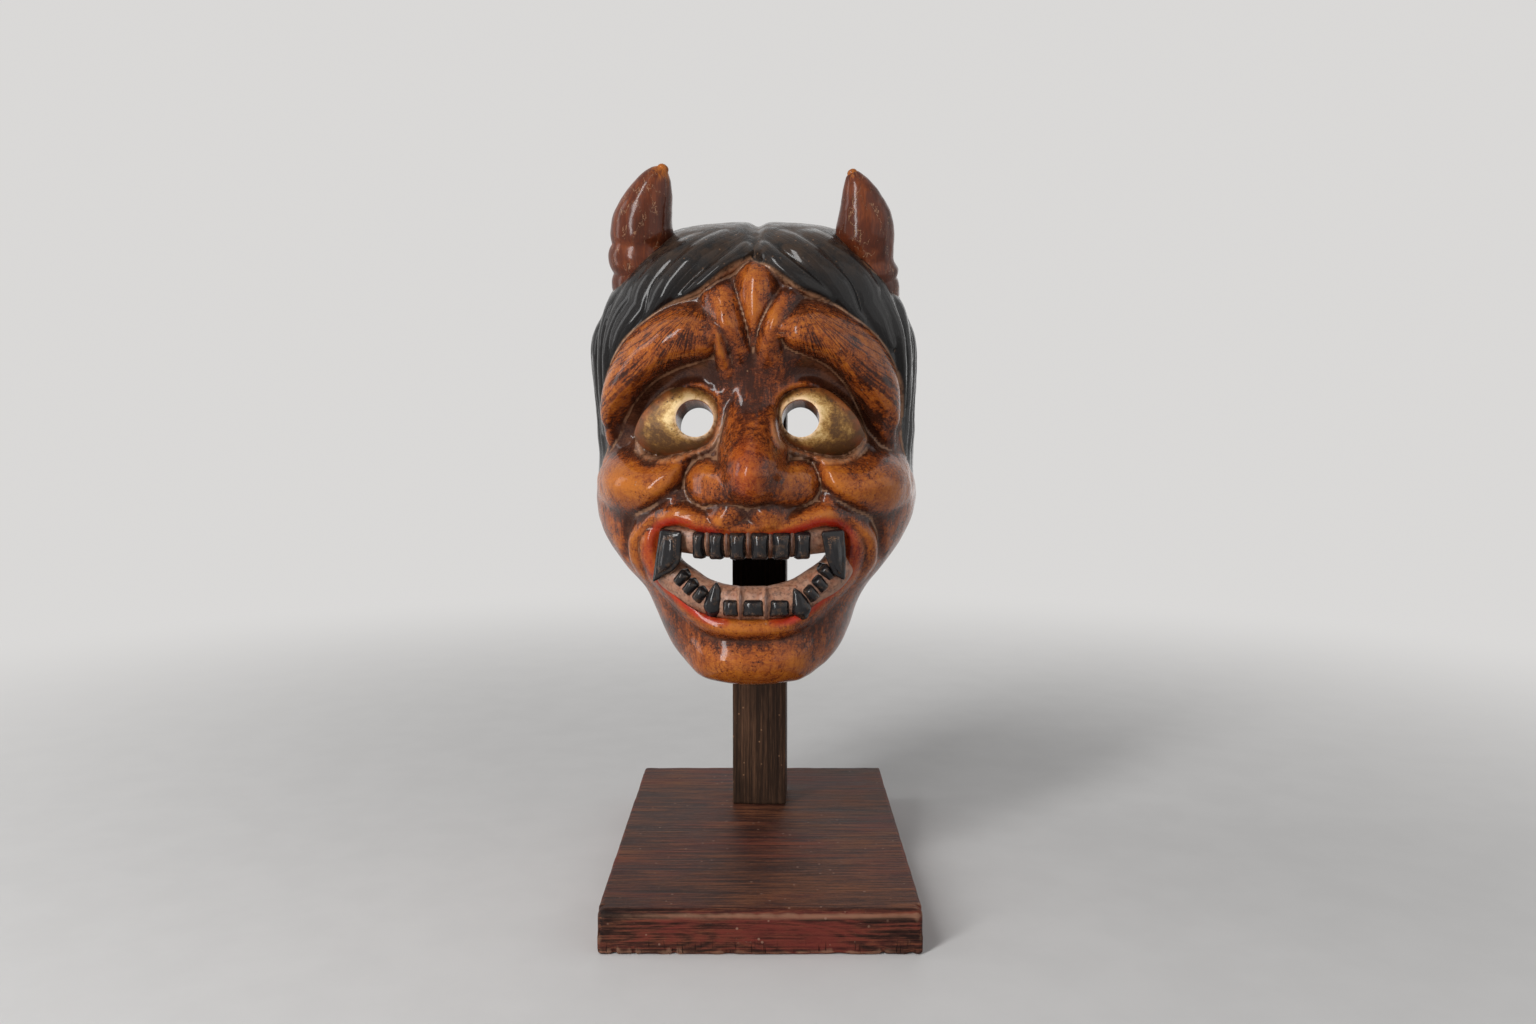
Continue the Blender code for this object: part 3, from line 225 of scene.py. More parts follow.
# Paint: soft patches that show the orange ground, painted shade in the recesses, and the red of the lips
WARM_PATCHES = [
    [(18, 49, 6, 0.4), (32, 47, 6, 0.8), (46, 38, 6, 0.9), (57, 23, 6, 0.8), (62, 4, 5, 0.4)],
    [(70, -12, 9, 0.6), (66, -24, 12, 1.0), (54, -27, 12, 1.0), (42, -25, 8, 0.8), (34, -18, 5, 0.5)],
    [(0, -103, 16, 0.9), (22, -100, 15, 0.8)],
    [(0, -85.5, 4, 0.8), (16, -84.5, 4, 0.8)],
    [(9, -35, 8, 0.7), (28, -37, 7, 0.7)],
    [(50, -50, 7, 0.7), (50, -62, 8, 0.7), (42, -80, 10, 0.6)],
    [(1.5, 64, 6, 0.9), (1.5, 54, 7, 1.0), (1, 44, 4, 0.6)],
    [(11, 52, 5, 0.5), (8, 44, 5, 0.6)],
    [(22, -22, 6, 0.4), (18, -22, 6, 0.4)],
]
# Painted shade: darker in the eye sockets, under the brows, round and under the nose, under the cheeks, in
# the mouth folds and at the nose root
PAINTED_SHADE_PATCHES = [
    [(14, 18, 8, 0.6), (22, 22, 9, 0.7), (34, 19, 9, 0.7), (45, 9, 9, 0.8), (55, -5, 8, 0.9)],
    [(18, 32, 5, 0.3), (27, 31, 6, 0.4), (40, 27, 7, 0.4), (50, 18, 6, 0.3)],
    [(1, 4, 10, 0.4), (1, -8, 14, 0.5), (1, -20, 17, 0.5)],
    [(0, -32, 6, 0.8), (16, -32, 6, 0.8), (28, -28, 5, 0.6)],
    [(60, -38, 6, 0.6), (48, -38, 6, 0.8), (38, -33, 5, 0.7)],
    [(54, -48, 5, 0.6), (56, -60, 6, 0.5)],
    [(0, 26, 9, 0.4), (0, 18, 9, 0.4)],
]
RED_PATCHES = [
    [(0, -47, 3, 1.0), (8, -46.6, 3, 1.0), (15, -45.2, 3, 1.0), (22, -43.2, 3, 1.0), (29, -41, 3.2, 1.0),
     (35, -41.4, 3.2, 1.0), (40, -44, 3.2, 0.9), (43, -49, 3, 0.6)],
    [(42, -48, 4, 0.7), (44, -55, 4, 0.5), (43, -63, 4, 0.4)],
    [(10, -82, 2.6, 0.6), (18, -80.8, 3, 1.0), (26, -76.6, 3.2, 1.0), (34, -71, 3.2, 0.9),
     (41, -65, 3, 0.8)],
    [(-1.5, -14, 11, 0.2), (-1.5, -22, 10, 0.3)],
]
BROW_EDGE, BROW_START = (1.05, 0.25), (4, 8)
CROWN_DUST, FRONT_DUST = (52, 30), (-20, 60)
# Depths in mm at which creases, ridges, recesses and broad hollows count in full, and the smoothing rounds
# of the broad hollow; creases, recesses and broad hollows carry painted shade, broad rises a little painted
# light
FULL_CREASE, FULL_RIDGE, FULL_SHADE, FULL_HOLLOW = 0.28, 0.25, 1.6, 4
HOLLOW_ROUNDS = 400
BARE_FADE, BARE_START = 0.8, 0.2

# Eyes: outline round the pupil, the ball under the plate, and the lid with the groove below it
EYE_OUTLINE = [(50, -4.5), (45, 5), (35, 14), (25, 16.5), (17, 14.2), (12.8, 9), (13.2, 0), (16.5, -7.5),
               (26, -11.7), (38.5, -14), (45.5, -11)]
EYE_BALL = (27.0, 50.0, 2.0)
EYE_BALL_RADII = (27.0, 18.0, 19.0)
EYE_SHIFT = -1.5
PUPIL = (22.6, 3.0)
PUPIL_RADIUS = 8.0
PUPIL_DROP = math.radians(13)
PUPIL_CUT_DEPTH, PUPIL_CUT_DROP, PUPIL_CUT_LENGTH = 55, 3, 60
PLATE_THICKNESS = 1.2
PLATE_DEPTH = 1.5
PLATE_GRID = (28, 144)
PLATE_OVERLAP, PLATE_EDGES = 0.4, (0.4, 0.3)
# Gilt: pale rim round the pupil, reach of the painted highlight round it, tarnish towards the edge and
# darker towards the bottom
GILT_RIM, GILT_HIGHLIGHT, GILT_EDGE, GILT_LOW = 2.2, 9, 6, (6, 14)
LID_OFFSET, GROOVE_OFFSET, GROOVE_DEPTH = 1.5, 3.9, 0.9
LOWER_LID, UPPER_LID = (6, 8), 0.15
LID_LINE, LID_LINE_WIDTH = 1.4, 1.3
EYE_SEAT, EYE_EDGE = 0.3, 1.2

# Mouth, gums and teeth
MOUTH_OUTLINE = [(0, -48.6), (8, -48.2), (15, -46.8), (22, -44.8), (29, -42.6), (35, -42.8), (39, -44.8),
                 (39.8, -49.5), (39.6, -57), (39.2, -65.4), (33.5, -71.6), (25.5, -77), (16, -80.6),
                 (0, -81.6)]
MOUTH_CUT = (30, 120)
UPPER_GUM = [(0, 73, -49.2), (16, 71, -49), (30, 66.5, -47.8), (38.5, 59, -48)]
LOWER_GUM = [(0, 75, -75.4), (10, 74.4, -74.9), (20, 72, -72.4), (27, 69, -68.6), (34, 65.5, -64),
             (38.2, 60, -59.6)]
GUM_RADII = (6.8, 7.5)
GUM_GRID = (48, 220)
GUM_RIDGE, GUM_RIDGE_WIDTH, GUM_FRONT = 2.0, 1.3, 68
TOOTH_ARC = 0.0075
TOOTH_GRID = (9, 7, 11)
TOOTH_EDGE, TOOTH_SWELL, TOOTH_SETBACK = 1.5, 2.3, 0.6
UPPER_TAPER = 0.9
UPPER_TEETH = [(-21.4, 5.6), (-13.9, 6.6), (-5.0, 7.4), (4.3, 7.8), (13.2, 8.0), (22.0, 7.4)]
UPPER_TOOTH = (79.4, -50.4, 5.0, 11.6)
LOWER_INCISORS = [(-7.6, 7.4), (1.6, 9.8), (12.3, 8.8)]
LOWER_INCISOR = (80.4, -76.4, 5.0, 7.4)
FANGS = {
    "left": [(-38.6, -44.0), (-28.6, -44.6), (-29.4, -57.5), (-32.6, -61.6), (-42.2, -67.2),
             (-40.4, -55.0)],
    "right": [(29.8, -44.4), (39.8, -43.8), (40.6, -55.0), (40.4, -65.8), (35.6, -63.4), (32.4, -57.0)],
}
FANG_DEPTH = (69.5, 76)
FANG_EDGE, FANG_STEP, FANG_RISES = 1.6, 0.8, (0.9, 0.6, 0.3)
FANG_LEAN, FANG_MIDDLE = 0.35, 35
CANINES = {
    "left": [(-15.9, 77.2, -79.4, 2.6), (-15.5, 78.2, -76.6, 4.1), (-14.9, 79.2, -72.4, 3.5),
             (-14.1, 79.8, -67.6, 1.6), (-13.9, 79.8, -66.2, 0.6)],
    "right": [(22.4, 76.4, -80.2, 2.6), (21.8, 77.4, -77.4, 4.2), (20.8, 78.2, -73.6, 3.5),
              (19.4, 78.6, -69.8, 1.6), (19.0, 78.6, -68.6, 0.6)],
}
CANINE_GRID = (32, 60)
MOLARS = {
    "left": [(-20.3, 76.6, -71.2), (-24.5, 74.8, -68.2), (-28.4, 72.6, -64.8)],
    "right": [(25.2, 75.0, -70.6), (28.8, 72.8, -66.8), (31.4, 70.4, -62.3)],
}
MOLAR_SIZE = (5.4, 7.4, 7.2)
MOLAR_ROLL = math.radians(40)

# Horns: rows are x, q, z, radius. Their roots end at a seat below the smooth face.
HORNS = {
    "left": [(-48.2, 30.4, 54.5, 13.5), (-49, 33.5, 62, 15.1), (-49.4, 35, 65.5, 15.1),
             (-49.6, 36.2, 69, 13.7), (-50, 37.3, 72.6, 14.6), (-50.4, 38.2, 76, 14.6),
             (-50.2, 39, 79.6, 13.2), (-50, 39.8, 84, 14), (-49.2, 41, 90, 13.3), (-47, 42.2, 97, 11.4),
             (-44, 43.2, 104.2, 8.6), (-41.4, 44, 109.2, 5.6), (-39.8, 44.4, 111.8, 2.6)],
    "right": [(48.2, 30, 52.2, 13.5), (49, 32.6, 59, 15.4), (49.5, 34, 62.5, 14.9), (49.5, 35, 65.4, 13.6),
              (49.6, 36.2, 69, 14.2), (49.6, 37.2, 72.6, 12.1), (49.4, 38.6, 77.4, 12.2),
              (48.8, 40, 83.4, 12.9), (48.4, 41.4, 90.4, 11.9), (46.9, 42.8, 97.4, 9.5),
              (44.9, 43.6, 104, 6.4), (43.3, 44.1, 108.4, 3.4), (42.9, 44.2, 109.4, 2.2)],
}
HORN_SEAT = 4.0
HORN_SEAT_SHARE = 1 - HORN_SEAT / MEAN_REACH
HORN_GRID = (96, 200)
HORN_FADE = 6
BEAD_WIDTH = 1.1
CORD_HOLE = (70.0, 12.0, 4.0)
CORD_HOLE_RADIUS, CORD_HOLE_LENGTH = 2.2, 50

# Domed ends of gums, canines and horns: where they begin and end, and their heights as shares of the radius
DOME_SHARES, DOME_HEIGHTS = (0, 0.04, 0.96, 1), (0.6, 0.8)

# Stand: nicks in the board's lower front edge as x, half width, depth, and the radii of its edges
BOARD_NICKS = [(-57, 1.2, 0.9), (-49, 0.8, 0.6), (-33, 0.7, 1.0), (-12, 2.4, 0.4), (12, 1.0, 0.5),
               (31, 2.8, 0.5), (48, 1.2, 0.8), (59, 1.6, 0.7)]
BOARD_GRID, POST_GRID = (86, 124, 13), (13, 13, 90)
FRONT_EDGE, OTHER_EDGE, POST_EDGE = 3.0, 1.0, 0.6
FRONT_BAND, NICK_REACH = 6, (4, 5)
FLANK_WIDTH, FOOT_FADE = 2.4, (7, 5)
FOOT_GAP = 0.1
SCREW_OFFSETS = (-5.0, 5.0)
SCREW_HOLE_RADIUS, SCREW_HOLE_LENGTH = 4.3, 8

# Stage, in metres: lamps as name, power, share of that power, size and place
LAMPS = [
    ("key_light", "key_power", 1.0, (0.18, 1.3), (-0.62, -0.8, 0.66)),
    ("fill_light", "fill_power", 1.0, (1.1, 1.1), (0.75, -0.65, 0.6)),
    ("left_light", "side_power", 1.0, (0.25, 0.9), (-0.95, 0.05, 0.45)),
    ("right_light", "side_power", 0.4, (0.4, 0.9), (0.95, 0.05, 0.45)),
    ("back_light", "side_power", 0.7, (1.0, 1.0), (0.15, 1.0, 0.5)),
]
LAMP_AIM = (0, 0, 0.2)
FLOOR_REACH, BACKDROP_BEND = 4, 1.5
PLAIN_PAPER = (0.16, 0.9)
AIR_COLOUR, AIR_STRENGTH = (0.75, 0.76, 0.78), 0.16
SENSOR_WIDTH = 36


def colour(name, description, value):
    """Colour property in linear light."""
    return FloatVectorProperty(
        name=name, description=description, default=value, subtype="COLOR", size=3, min=0, max=1
    )


class NohMaskCarving(bpy.types.PropertyGroup):
    """Sizes of the carving."""

    columns: IntProperty(name="Columns", description="Faces across the carved front", default=280)
    rows: IntProperty(name="Rows", description="Faces from crown to chin", default=316)
    hair_thickness: FloatProperty(
        name="Hair thickness", description="How far the hair stands out, in mm", default=3.0
    )
    lid_height: FloatProperty(name="Lid height", description="Rim round each eye, in mm", default=1.5)
    tool_marks: FloatProperty(
        name="Tool marks", description="Unevenness that the chisel leaves, in mm", default=0.22
    )
    board_wear: FloatProperty(
        name="Board wear", description="Largest loss along the stand's edges, in mm", default=0.9
    )


class NohMaskColours(bpy.types.PropertyGroup):
    """Colours of the finishes."""

    # Deep brown is also the painted shade in creases, recesses and sockets, besides the lacquer's own
    # darker mottling
    deep_brown: colour("Deep brown", "Lacquer in the recesses", (0.042, 0.012, 0.006))
    red_brown: colour("Red brown", "Main lacquer", (0.135, 0.030, 0.009))
    rust: colour("Rust", "Thin lacquer", (0.30, 0.070, 0.013))
    orange: colour("Orange", "Lacquer worn to its orange ground", (0.45, 0.135, 0.018))
    worn_ground: colour("Worn ground", "Pale ground along worn edges and creases", (0.42, 0.22, 0.12))
    lip_red: colour("Lip red", "Vermilion of the lips", (0.40, 0.018, 0.008))
    recess_dust: colour("Recess dust", "Dull bloom in the broad recesses", (0.21, 0.074, 0.032))
    hair_black: colour("Hair black", "Black lacquer", (0.010, 0.009, 0.009))
    hair_dust: colour("Hair dust", "Brown bloom on the crown", (0.075, 0.042, 0.024))
    bare_wood: colour("Bare wood", "Oiled wood behind the face", (0.060, 0.028, 0.014))
    gum_tan: colour("Gum tan", "Pale gums", (0.42, 0.22, 0.14))
    tooth_black: colour("Tooth black", "Blackened teeth", (0.012, 0.011, 0.012))
    gilt: colour("Gilt", "Gilding of the eyes", (0.74, 0.54, 0.26))
    tarnish: colour("Tarnish", "Darkened gilding", (0.10, 0.042, 0.010))
    horn_brown: colour("Horn brown", "Lacquer of the horns", (0.095, 0.021, 0.008))
    horn_rust: colour("Horn rust", "Thin lacquer on the horns", (0.26, 0.065, 0.018))
    board_brown: colour("Board brown", "Stain of the board", (0.050, 0.020, 0.014))
    board_red: colour("Board red", "Paint left on the board's edges", (0.15, 0.022, 0.020))
    post_brown: colour("Post brown", "Stain of the post", (0.040, 0.022, 0.014))
    steel: colour("Steel", "Screws", (0.50, 0.48, 0.45))


class NohMaskStage(bpy.types.PropertyGroup):
    """Floor, lights and camera."""

    floor_colour: colour("Floor", "Pale floor and backdrop", (0.70, 0.69, 0.68))
    camera_place: FloatVectorProperty(
        name="Camera", description="Place of the camera", default=(0.0031, -0.5677, 0.2124),
        subtype="TRANSLATION", unit="LENGTH"
    )
    camera_tilt: FloatProperty(
        name="Tilt", description="Angle that the camera looks down", default=math.radians(4.76),
        unit="ROTATION"
    )
    lens: FloatProperty(name="Lens", description="Focal length in mm on a 36 mm sensor", default=29.297)
    key_power: FloatProperty(name="Key", description="Power of the main light", default=12.0, unit="POWER")
    fill_power: FloatProperty(
        name="Fill", description="Power of the second light", default=2.0, unit="POWER"
    )
    side_power: FloatProperty(
        name="Side", description="Power of the left light, which the right and back lights follow",
        default=2.0, unit="POWER"
    )


def spline(rows, steps=8):
    """Sampled Catmull-Rom curve through control rows of any width."""
    rows = np.array(rows, float)
    ends = np.vstack([2 * rows[0] - rows[1], rows, 2 * rows[-1] - rows[-2]])
    t = np.linspace(0, 1, steps, endpoint=False)[:, None]
    spans = []
    for a, b, c, d in zip(ends, ends[1:], ends[2:], ends[3:]):
        bend = (2 * a - 5 * b + 4 * c - d) * t**2 + (3 * b - a - 3 * c + d) * t**3
        spans.append(0.5 * (2 * b + (c - a) * t + bend))
    spans.append(rows[-1:])
    return np.vstack(spans)


def ramp(value):
    """Smooth step from 0 to 1."""
    value = np.clip(value, 0, 1)
    return value * value * (3 - 2 * value)


def rise(value, start, fade):
    """Smooth step up that begins at start and is full a fade further on."""
    return ramp((value - start) / fade)


def fall(value, end, fade):
    """Smooth step down that reaches 0 at end and is full a fade before it."""
    return ramp((end - value) / fade)


def face_form(lat, lon, shares=(1.0, 1.0), walls=(0.0, 0.0)):
    """Smooth face before carving, as x, q, z columns, from latitude and longitude in degrees."""
    widths = spline(HALF_WIDTH)
    depths = spline(FRONT_DEPTH)
    across = np.sin(np.radians(lon))
    left = np.interp(lat, widths[:, 0], widths[:, 1])
    right = np.interp(lat, widths[:, 0], widths[:, 2])
    x = np.where(across < 0, left, right) * shares[0] * across
    fullness = np.maximum(0, 1 - np.abs(across) ** SECTION_POWER) ** (1 / SECTION_POWER)
    q = np.interp(lat, depths[:, 0], depths[:, 1]) * shares[1] * fullness
    z = np.where(lat > 0, CROWN_RISE - walls[0], CHIN_DROP - walls[1]) * np.sin(np.radians(lat))
    below = np.clip((-lat - UNDERCUT_START) / UNDERCUT_FADE, 0, 1)
    z += CHIN_UNDERCUT * np.clip(1 - q / UNDERCUT_DEPTH, 0, 1) ** 2 * below
    return np.stack([x, q, z], axis=1)


def nearest_on(rows, x, z, lower=1):
    """Share of a stroke's radius, height, signed distance and length along it, for each point."""
    share = np.full(x.shape, 1e9)
    height, offset, along = np.zeros((3, *x.shape))
    start = 0.0
    for a, b in zip(rows, rows[1:]):
        run = b[:2] - a[:2]
        length = math.hypot(*run)
        part = np.clip(((x - a[0]) * run[0] + (z - a[1]) * run[1]) / length**2, 0, 1)
        dx = x - a[0] - part * run[0]
        dz = z - a[1] - part * run[1]
        above = np.sign(run[0] * dz - run[1] * dx)
        distance = np.hypot(dx, dz)
        here = distance / (a[2] + (b[2] - a[2]) * part) / np.where(above < 0, lower, 1)
        closer = here < share
        share = np.where(closer, here, share)
        height = np.where(closer, a[3] + (b[3] - a[3]) * part, height)
        offset = np.where(closer, distance * above, offset)
        along = np.where(closer, start + length * part, along)
        start += length
    return share, height, offset, along


def stroke_relief(rows, power, x, z):
    """Height that one carving stroke adds at each point."""
    rows = spline(rows)
    reach = rows[:, 2].max()
    low = rows[:, :2].min(axis=0) - reach
    high = rows[:, :2].max(axis=0) + reach
    near = (x > low[0]) & (x < high[0]) & (z > low[1]) & (z < high[1])
    share, height, _, _ = nearest_on(rows, x[near], z[near])
    relief = np.zeros(x.shape)
    relief[near] = height * np.maximum(0, 1 - share**2) ** power
    return relief


def brow_relief(rows, x, z):
    """Height of a brow, which slopes from the hairline to a ridge and turns in sharply below it."""
    share, height, offset, _ = nearest_on(spline(rows), x, z, BROW_UNDERCUT)
    return height * np.maximum(0, 1 - share**2) ** np.where(offset < 0, LOWER_BROW, UPPER_BROW)


def eye_reach(angle):
    """Distance from the pupil's centre to the eye's outline, at an angle."""
    outline = spline(EYE_OUTLINE + EYE_OUTLINE[:1], 6)[:-1] - PUPIL
    angles = np.arctan2(outline[:, 1], outline[:, 0])
    order = np.argsort(angles)
    return np.interp(angle, angles[order], np.hypot(*outline.T)[order], period=2 * math.pi)


def inside_eye(x, z):
    """Distance inside the eye's outline, negative outside it."""
    dx = x - PUPIL[0]
    dz = z - PUPIL[1]
    return eye_reach(np.arctan2(dz, dx)) - np.hypot(dx, dz)


def eye_ball(x, z):
    """Forward reach of the eyeball."""
    over = ((x - EYE_BALL[0]) / EYE_BALL_RADII[0]) ** 2 + ((z - EYE_BALL[2]) / EYE_BALL_RADII[2]) ** 2
    return EYE_BALL[1] + EYE_BALL_RADII[1] * np.sqrt(np.maximum(0.05, 1 - over))


def unevenness(points, height, size, seed=0.0):
    """Smooth noise at each point, up and down by height, with features of about size mm."""
    shift = Vector((seed, 0, 0))
    return height * np.array([noise.noise(Vector(point) / size + shift) for point in points])


def hair_cover(x, q, z):
    """Share of hair, 0 on the skin and 1 behind the hairline, which drops towards the back."""
    line = spline([(a, b, 1, 1) for a, b in HAIRLINE])
    drop = SIDE_DROP * np.clip(TEMPLE_DEPTH - q, 0, TEMPLE_DEPTH) * rise(np.abs(x), *SIDE_FADE)
    _, _, offset, _ = nearest_on(line, np.abs(x), z + drop)
    return ramp(0.5 + offset / HAIR_EDGE)


def side_share(q, z):
    """Share of the temple, where the hair hangs in strands along the side of the head."""
    return fall(q, TEMPLE_DEPTH, TEMPLE_FADES[0]) * fall(z, TEMPLE_TOP, TEMPLE_FADES[1])


def side_phase(q, z):
    """Place across the side strands, in strands."""
    return (q - STRAND_BEND * (z - STRAND_MIDDLE) ** 2 + STRAND_SHIFT) / SIDE_STRAND


def carve(form, normals, carving):
    """Carved face from the smooth one: features, lids, hair with its locks, and the eyeballs."""
    x, q, z = form.T
    mirrored = np.abs(x)
    across = {"both": mirrored, "left": -x, "centre": x}
    relief = np.zeros(x.shape)
    for _, side, rows in FORMS:
        relief += stroke_relief(rows, FORM_POWER, across[side], z)
    folds = np.maximum(brow_relief(LEFT_BROW, -x, z), brow_relief(RIGHT_BROW, x, z))
    for _, side, power, rows in FOLDS:
        folds = np.maximum(folds, stroke_relief(rows, power, across[side], z))
    nose = np.zeros(x.shape)
    for _, side, power, rows in NOSE_FOLDS:
        nose += stroke_relief(rows, power, across[side], z) ** NOSE_BLEND
    folds = np.maximum(folds, nose ** (1 / NOSE_BLEND))
    relief += folds
    eye_x = np.abs(x - EYE_SHIFT)
    inside = inside_eye(eye_x, z)
    below = fall(z, *LOWER_LID)
    lid_share = UPPER_LID + (1 - UPPER_LID) * below
    relief += carving.lid_height * np.exp(-((inside + LID_OFFSET) ** 2)) * lid_share
    relief -= GROOVE_DEPTH * np.exp(-((inside + GROOVE_OFFSET) ** 2)) * below
    hair = hair_cover(x, q, z)
    lock = np.zeros(x.shape)
    for side, rows in LOCKS:
        lock = np.maximum(lock, stroke_relief(rows, LOCK_POWER, across[side], z))
    lock = np.maximum(lock, CROWN_SWELL * rise(z, *CROWN_FADE))
    lock -= PARTING_DEPTH * np.exp(-(((x - PARTING) / PARTING_WIDTH) ** 2)) * rise(z, *PARTING_FADE)
    thinning = sum(depth * rise(mirrored, start, fade) for depth, start, fade in SIDE_THINNING)
    lock -= thinning * fall(z, TEMPLE_TOP, TEMPLE_FADES[1])
    temple = side_share(q, z)
    wave = 2 * (side_phase(q, z) % 1) - 1
    lock = lock * (1 - temple) + (SIDE_SWELL * np.sqrt(1 - wave**2) - SIDE_SINK) * temple
    hanging = rise(z, -HAIR_TAPER, HAIR_TAPER)
    relief = relief * (1 - hair) + (carving.hair_thickness + lock) * hanging * hair
    relief += unevenness(form, carving.tool_marks, MARK_SIZE)
    edgeward = np.maximum(rise(z, *CROWN_EDGE), rise(-z, *CHIN_EDGE))
    edgeward = np.maximum(rise(mirrored, *SIDE_EDGE), edgeward)
    forward = np.array([0.0, 1.0, 0.0])
    direction = normals * edgeward[:, None] + forward * (1 - edgeward[:, None])
    direction /= np.linalg.norm(direction, axis=1, keepdims=True)
    carved = form + direction * relief[:, None]
    eye = ramp(0.5 + inside / EYE_EDGE)[:, None]
    seat = np.stack([x, eye_ball(eye_x, z) + EYE_SEAT, z], axis=1)
    return carved * (1 - eye) + seat * eye


def paint_masks(form):
    """Named shares of paint at each point of the smooth face."""
    x, q, z = form.T
    mirrored = np.abs(x)
    masks = {"hair": hair_cover(x, q, z)}
    for name, patches in (("warm", WARM_PATCHES), ("painted_shade", PAINTED_SHADE_PATCHES), ("red", RED_PATCHES)):
        masks[name] = np.zeros(x.shape)
        for rows in patches:
            masks[name] = np.maximum(masks[name], stroke_relief(rows, 1.0, mirrored, z))
    left = nearest_on(spline(LEFT_BROW), -x, z, BROW_UNDERCUT)
    right = nearest_on(spline(RIGHT_BROW), x, z, BROW_UNDERCUT)
    share, _, _, along = np.where(x < 0, left, right)
    masks["brow"] = fall(share, *BROW_EDGE) * rise(along, *BROW_START) * (1 - masks["hair"])
    from_fans = [np.stack([mirrored - abs(a), z - b]) for a, b in BROW_FANS]
    over, up = np.where(x < 0, *from_fans)
    masks["fan"] = FAN_SCALE * np.arctan2(up, over)
    masks["reach"] = np.hypot(over, up)
    in_hair = masks["hair"] > HAIR_SHARE
    strand = np.zeros(x.shape)
    best = np.full(x.shape, 1e9)
    for side, rows in LOCKS:
        share, _, offset, _ = nearest_on(spline(rows), -x if side == "left" else x, z)
        taken = (share < best) & in_hair
        strand = np.where(taken, offset, strand)
        best = np.where(taken, share, best)
    temple = (side_share(q, z) > 0.5) & in_hair
    masks["strand"] = np.where(temple, side_phase(q, z) * SIDE_STRAND, strand)
    lid = np.exp(-(((inside_eye(np.abs(x - EYE_SHIFT), z) + LID_LINE) / LID_LINE_WIDTH) ** 2))
    masks["lid"] = lid * fall(z, *LOWER_LID)
    masks["crown"] = rise(z, *CROWN_DUST) * rise(q, *FRONT_DUST)
    return masks


def to_mesh_space(points):
    """Face coordinates in millimetres as mesh coordinates in metres."""
    return points * (MM, -MM, MM)


def coordinates(bm):
    """Mesh coordinates of every vertex, in metres."""
    return np.array([vert.co for vert in bm.verts])


def move_vertices(bm, points):
    """Moves every vertex to its row of mesh coordinates."""
    for vert, point in zip(bm.verts, points):
        vert.co = point


def vertex_rows(bm):
    """Face coordinates of every vertex."""
    return coordinates(bm) / (MM, -MM, MM)


def place_vertices(bm, points):
    """Moves every vertex to its row of face coordinates."""
    move_vertices(bm, to_mesh_space(points))


def vertex_normals(bm):
    """Normal of every vertex along the axes of the face."""
    bm.normal_update()
    return np.array([vert.normal for vert in bm.verts]) * (1, -1, 1)


def thicken(bm, faces, vec):
    """Draws faces out along a vector into a closed block."""
    raised = bmesh.ops.extrude_face_region(bm, geom=faces, use_keep_orig=True)
    moved = [item for item in raised["geom"] if isinstance(item, bmesh.types.BMVert)]
    bmesh.ops.translate(bm, verts=moved, vec=vec)
    bmesh.ops.recalc_face_normals(bm, faces=bm.faces)


def half_form(columns, rows, shares=(1.0, 1.0), walls=(0.0, 0.0)):
    """Open sheet with the form of the face, from a grid of longitude and latitude."""
    bm = bmesh.new()
    bmesh.ops.create_grid(bm, x_segments=columns, y_segments=rows, size=0.5)
    grid = coordinates(bm) * 180
    place_vertices(bm, face_form(grid[:, 1], grid[:, 0], shares, walls))
    bmesh.ops.remove_doubles(bm, verts=bm.verts, dist=1e-6)
    return bm


def close_back(bm, q):
    """Flattens the open rim to one depth and closes it with a flat back."""
    rim_edges = [edge for edge in bm.edges if edge.is_boundary]
    for edge in rim_edges:
        for vert in edge.verts:
            vert.co.y = -q * MM
    bmesh.ops.holes_fill(bm, edges=rim_edges, sides=0)
    bmesh.ops.recalc_face_normals(bm, faces=bm.faces)


def bar_along(rows, sides, rings, reference, flat=(1.0, 1.0)):
    """Round bar with domed ends along x, q, z, radius rows, and each vertex's share of its length."""
    rows = spline(rows, 16)
    length = np.concatenate([[0], np.cumsum(np.linalg.norm(np.diff(rows[:, :3], axis=0), axis=1))])
    bm = bmesh.new()
    bmesh.ops.create_uvsphere(bm, u_segments=sides, v_segments=rings, radius=1)
    unit = coordinates(bm)
    share = np.arccos(np.clip(-unit[:, 2], -1, 1)) / math.pi
    root, tip = rows[[0, -1], 3] * DOME_HEIGHTS
    reach = np.interp(share, DOME_SHARES, [-root, 0, length[-1], length[-1] + tip])
    along = np.clip(reach, 0, length[-1])
    centre, ahead, behind = (
        np.stack([np.interp(along + step, length, rows[:, i]) for i in range(3)], axis=1)
        for step in (0, 0.5, -0.5)
    )
    tangent = ahead - behind
    tangent /= np.linalg.norm(tangent, axis=1, keepdims=True)
    side = np.array(reference, float) - tangent * (tangent @ np.array(reference, float))[:, None]
    side /= np.linalg.norm(side, axis=1, keepdims=True)
    other = np.cross(tangent, side)
    dome = np.sqrt(np.clip(1 - np.interp(share, DOME_SHARES, [1, 0, 0, 1]) ** 2, 0, 1))
    radius = np.interp(along, length, rows[:, 3]) * dome
    angle = np.arctan2(unit[:, 1], unit[:, 0])
    points = centre + tangent * (reach - along)[:, None]
    points += side * (radius * np.cos(angle) * flat[0])[:, None]
    points += other * (radius * np.sin(angle) * flat[1])[:, None]
    place_vertices(bm, points)
    bmesh.ops.recalc_face_normals(bm, faces=bm.faces)
    return bm, along / length[-1]


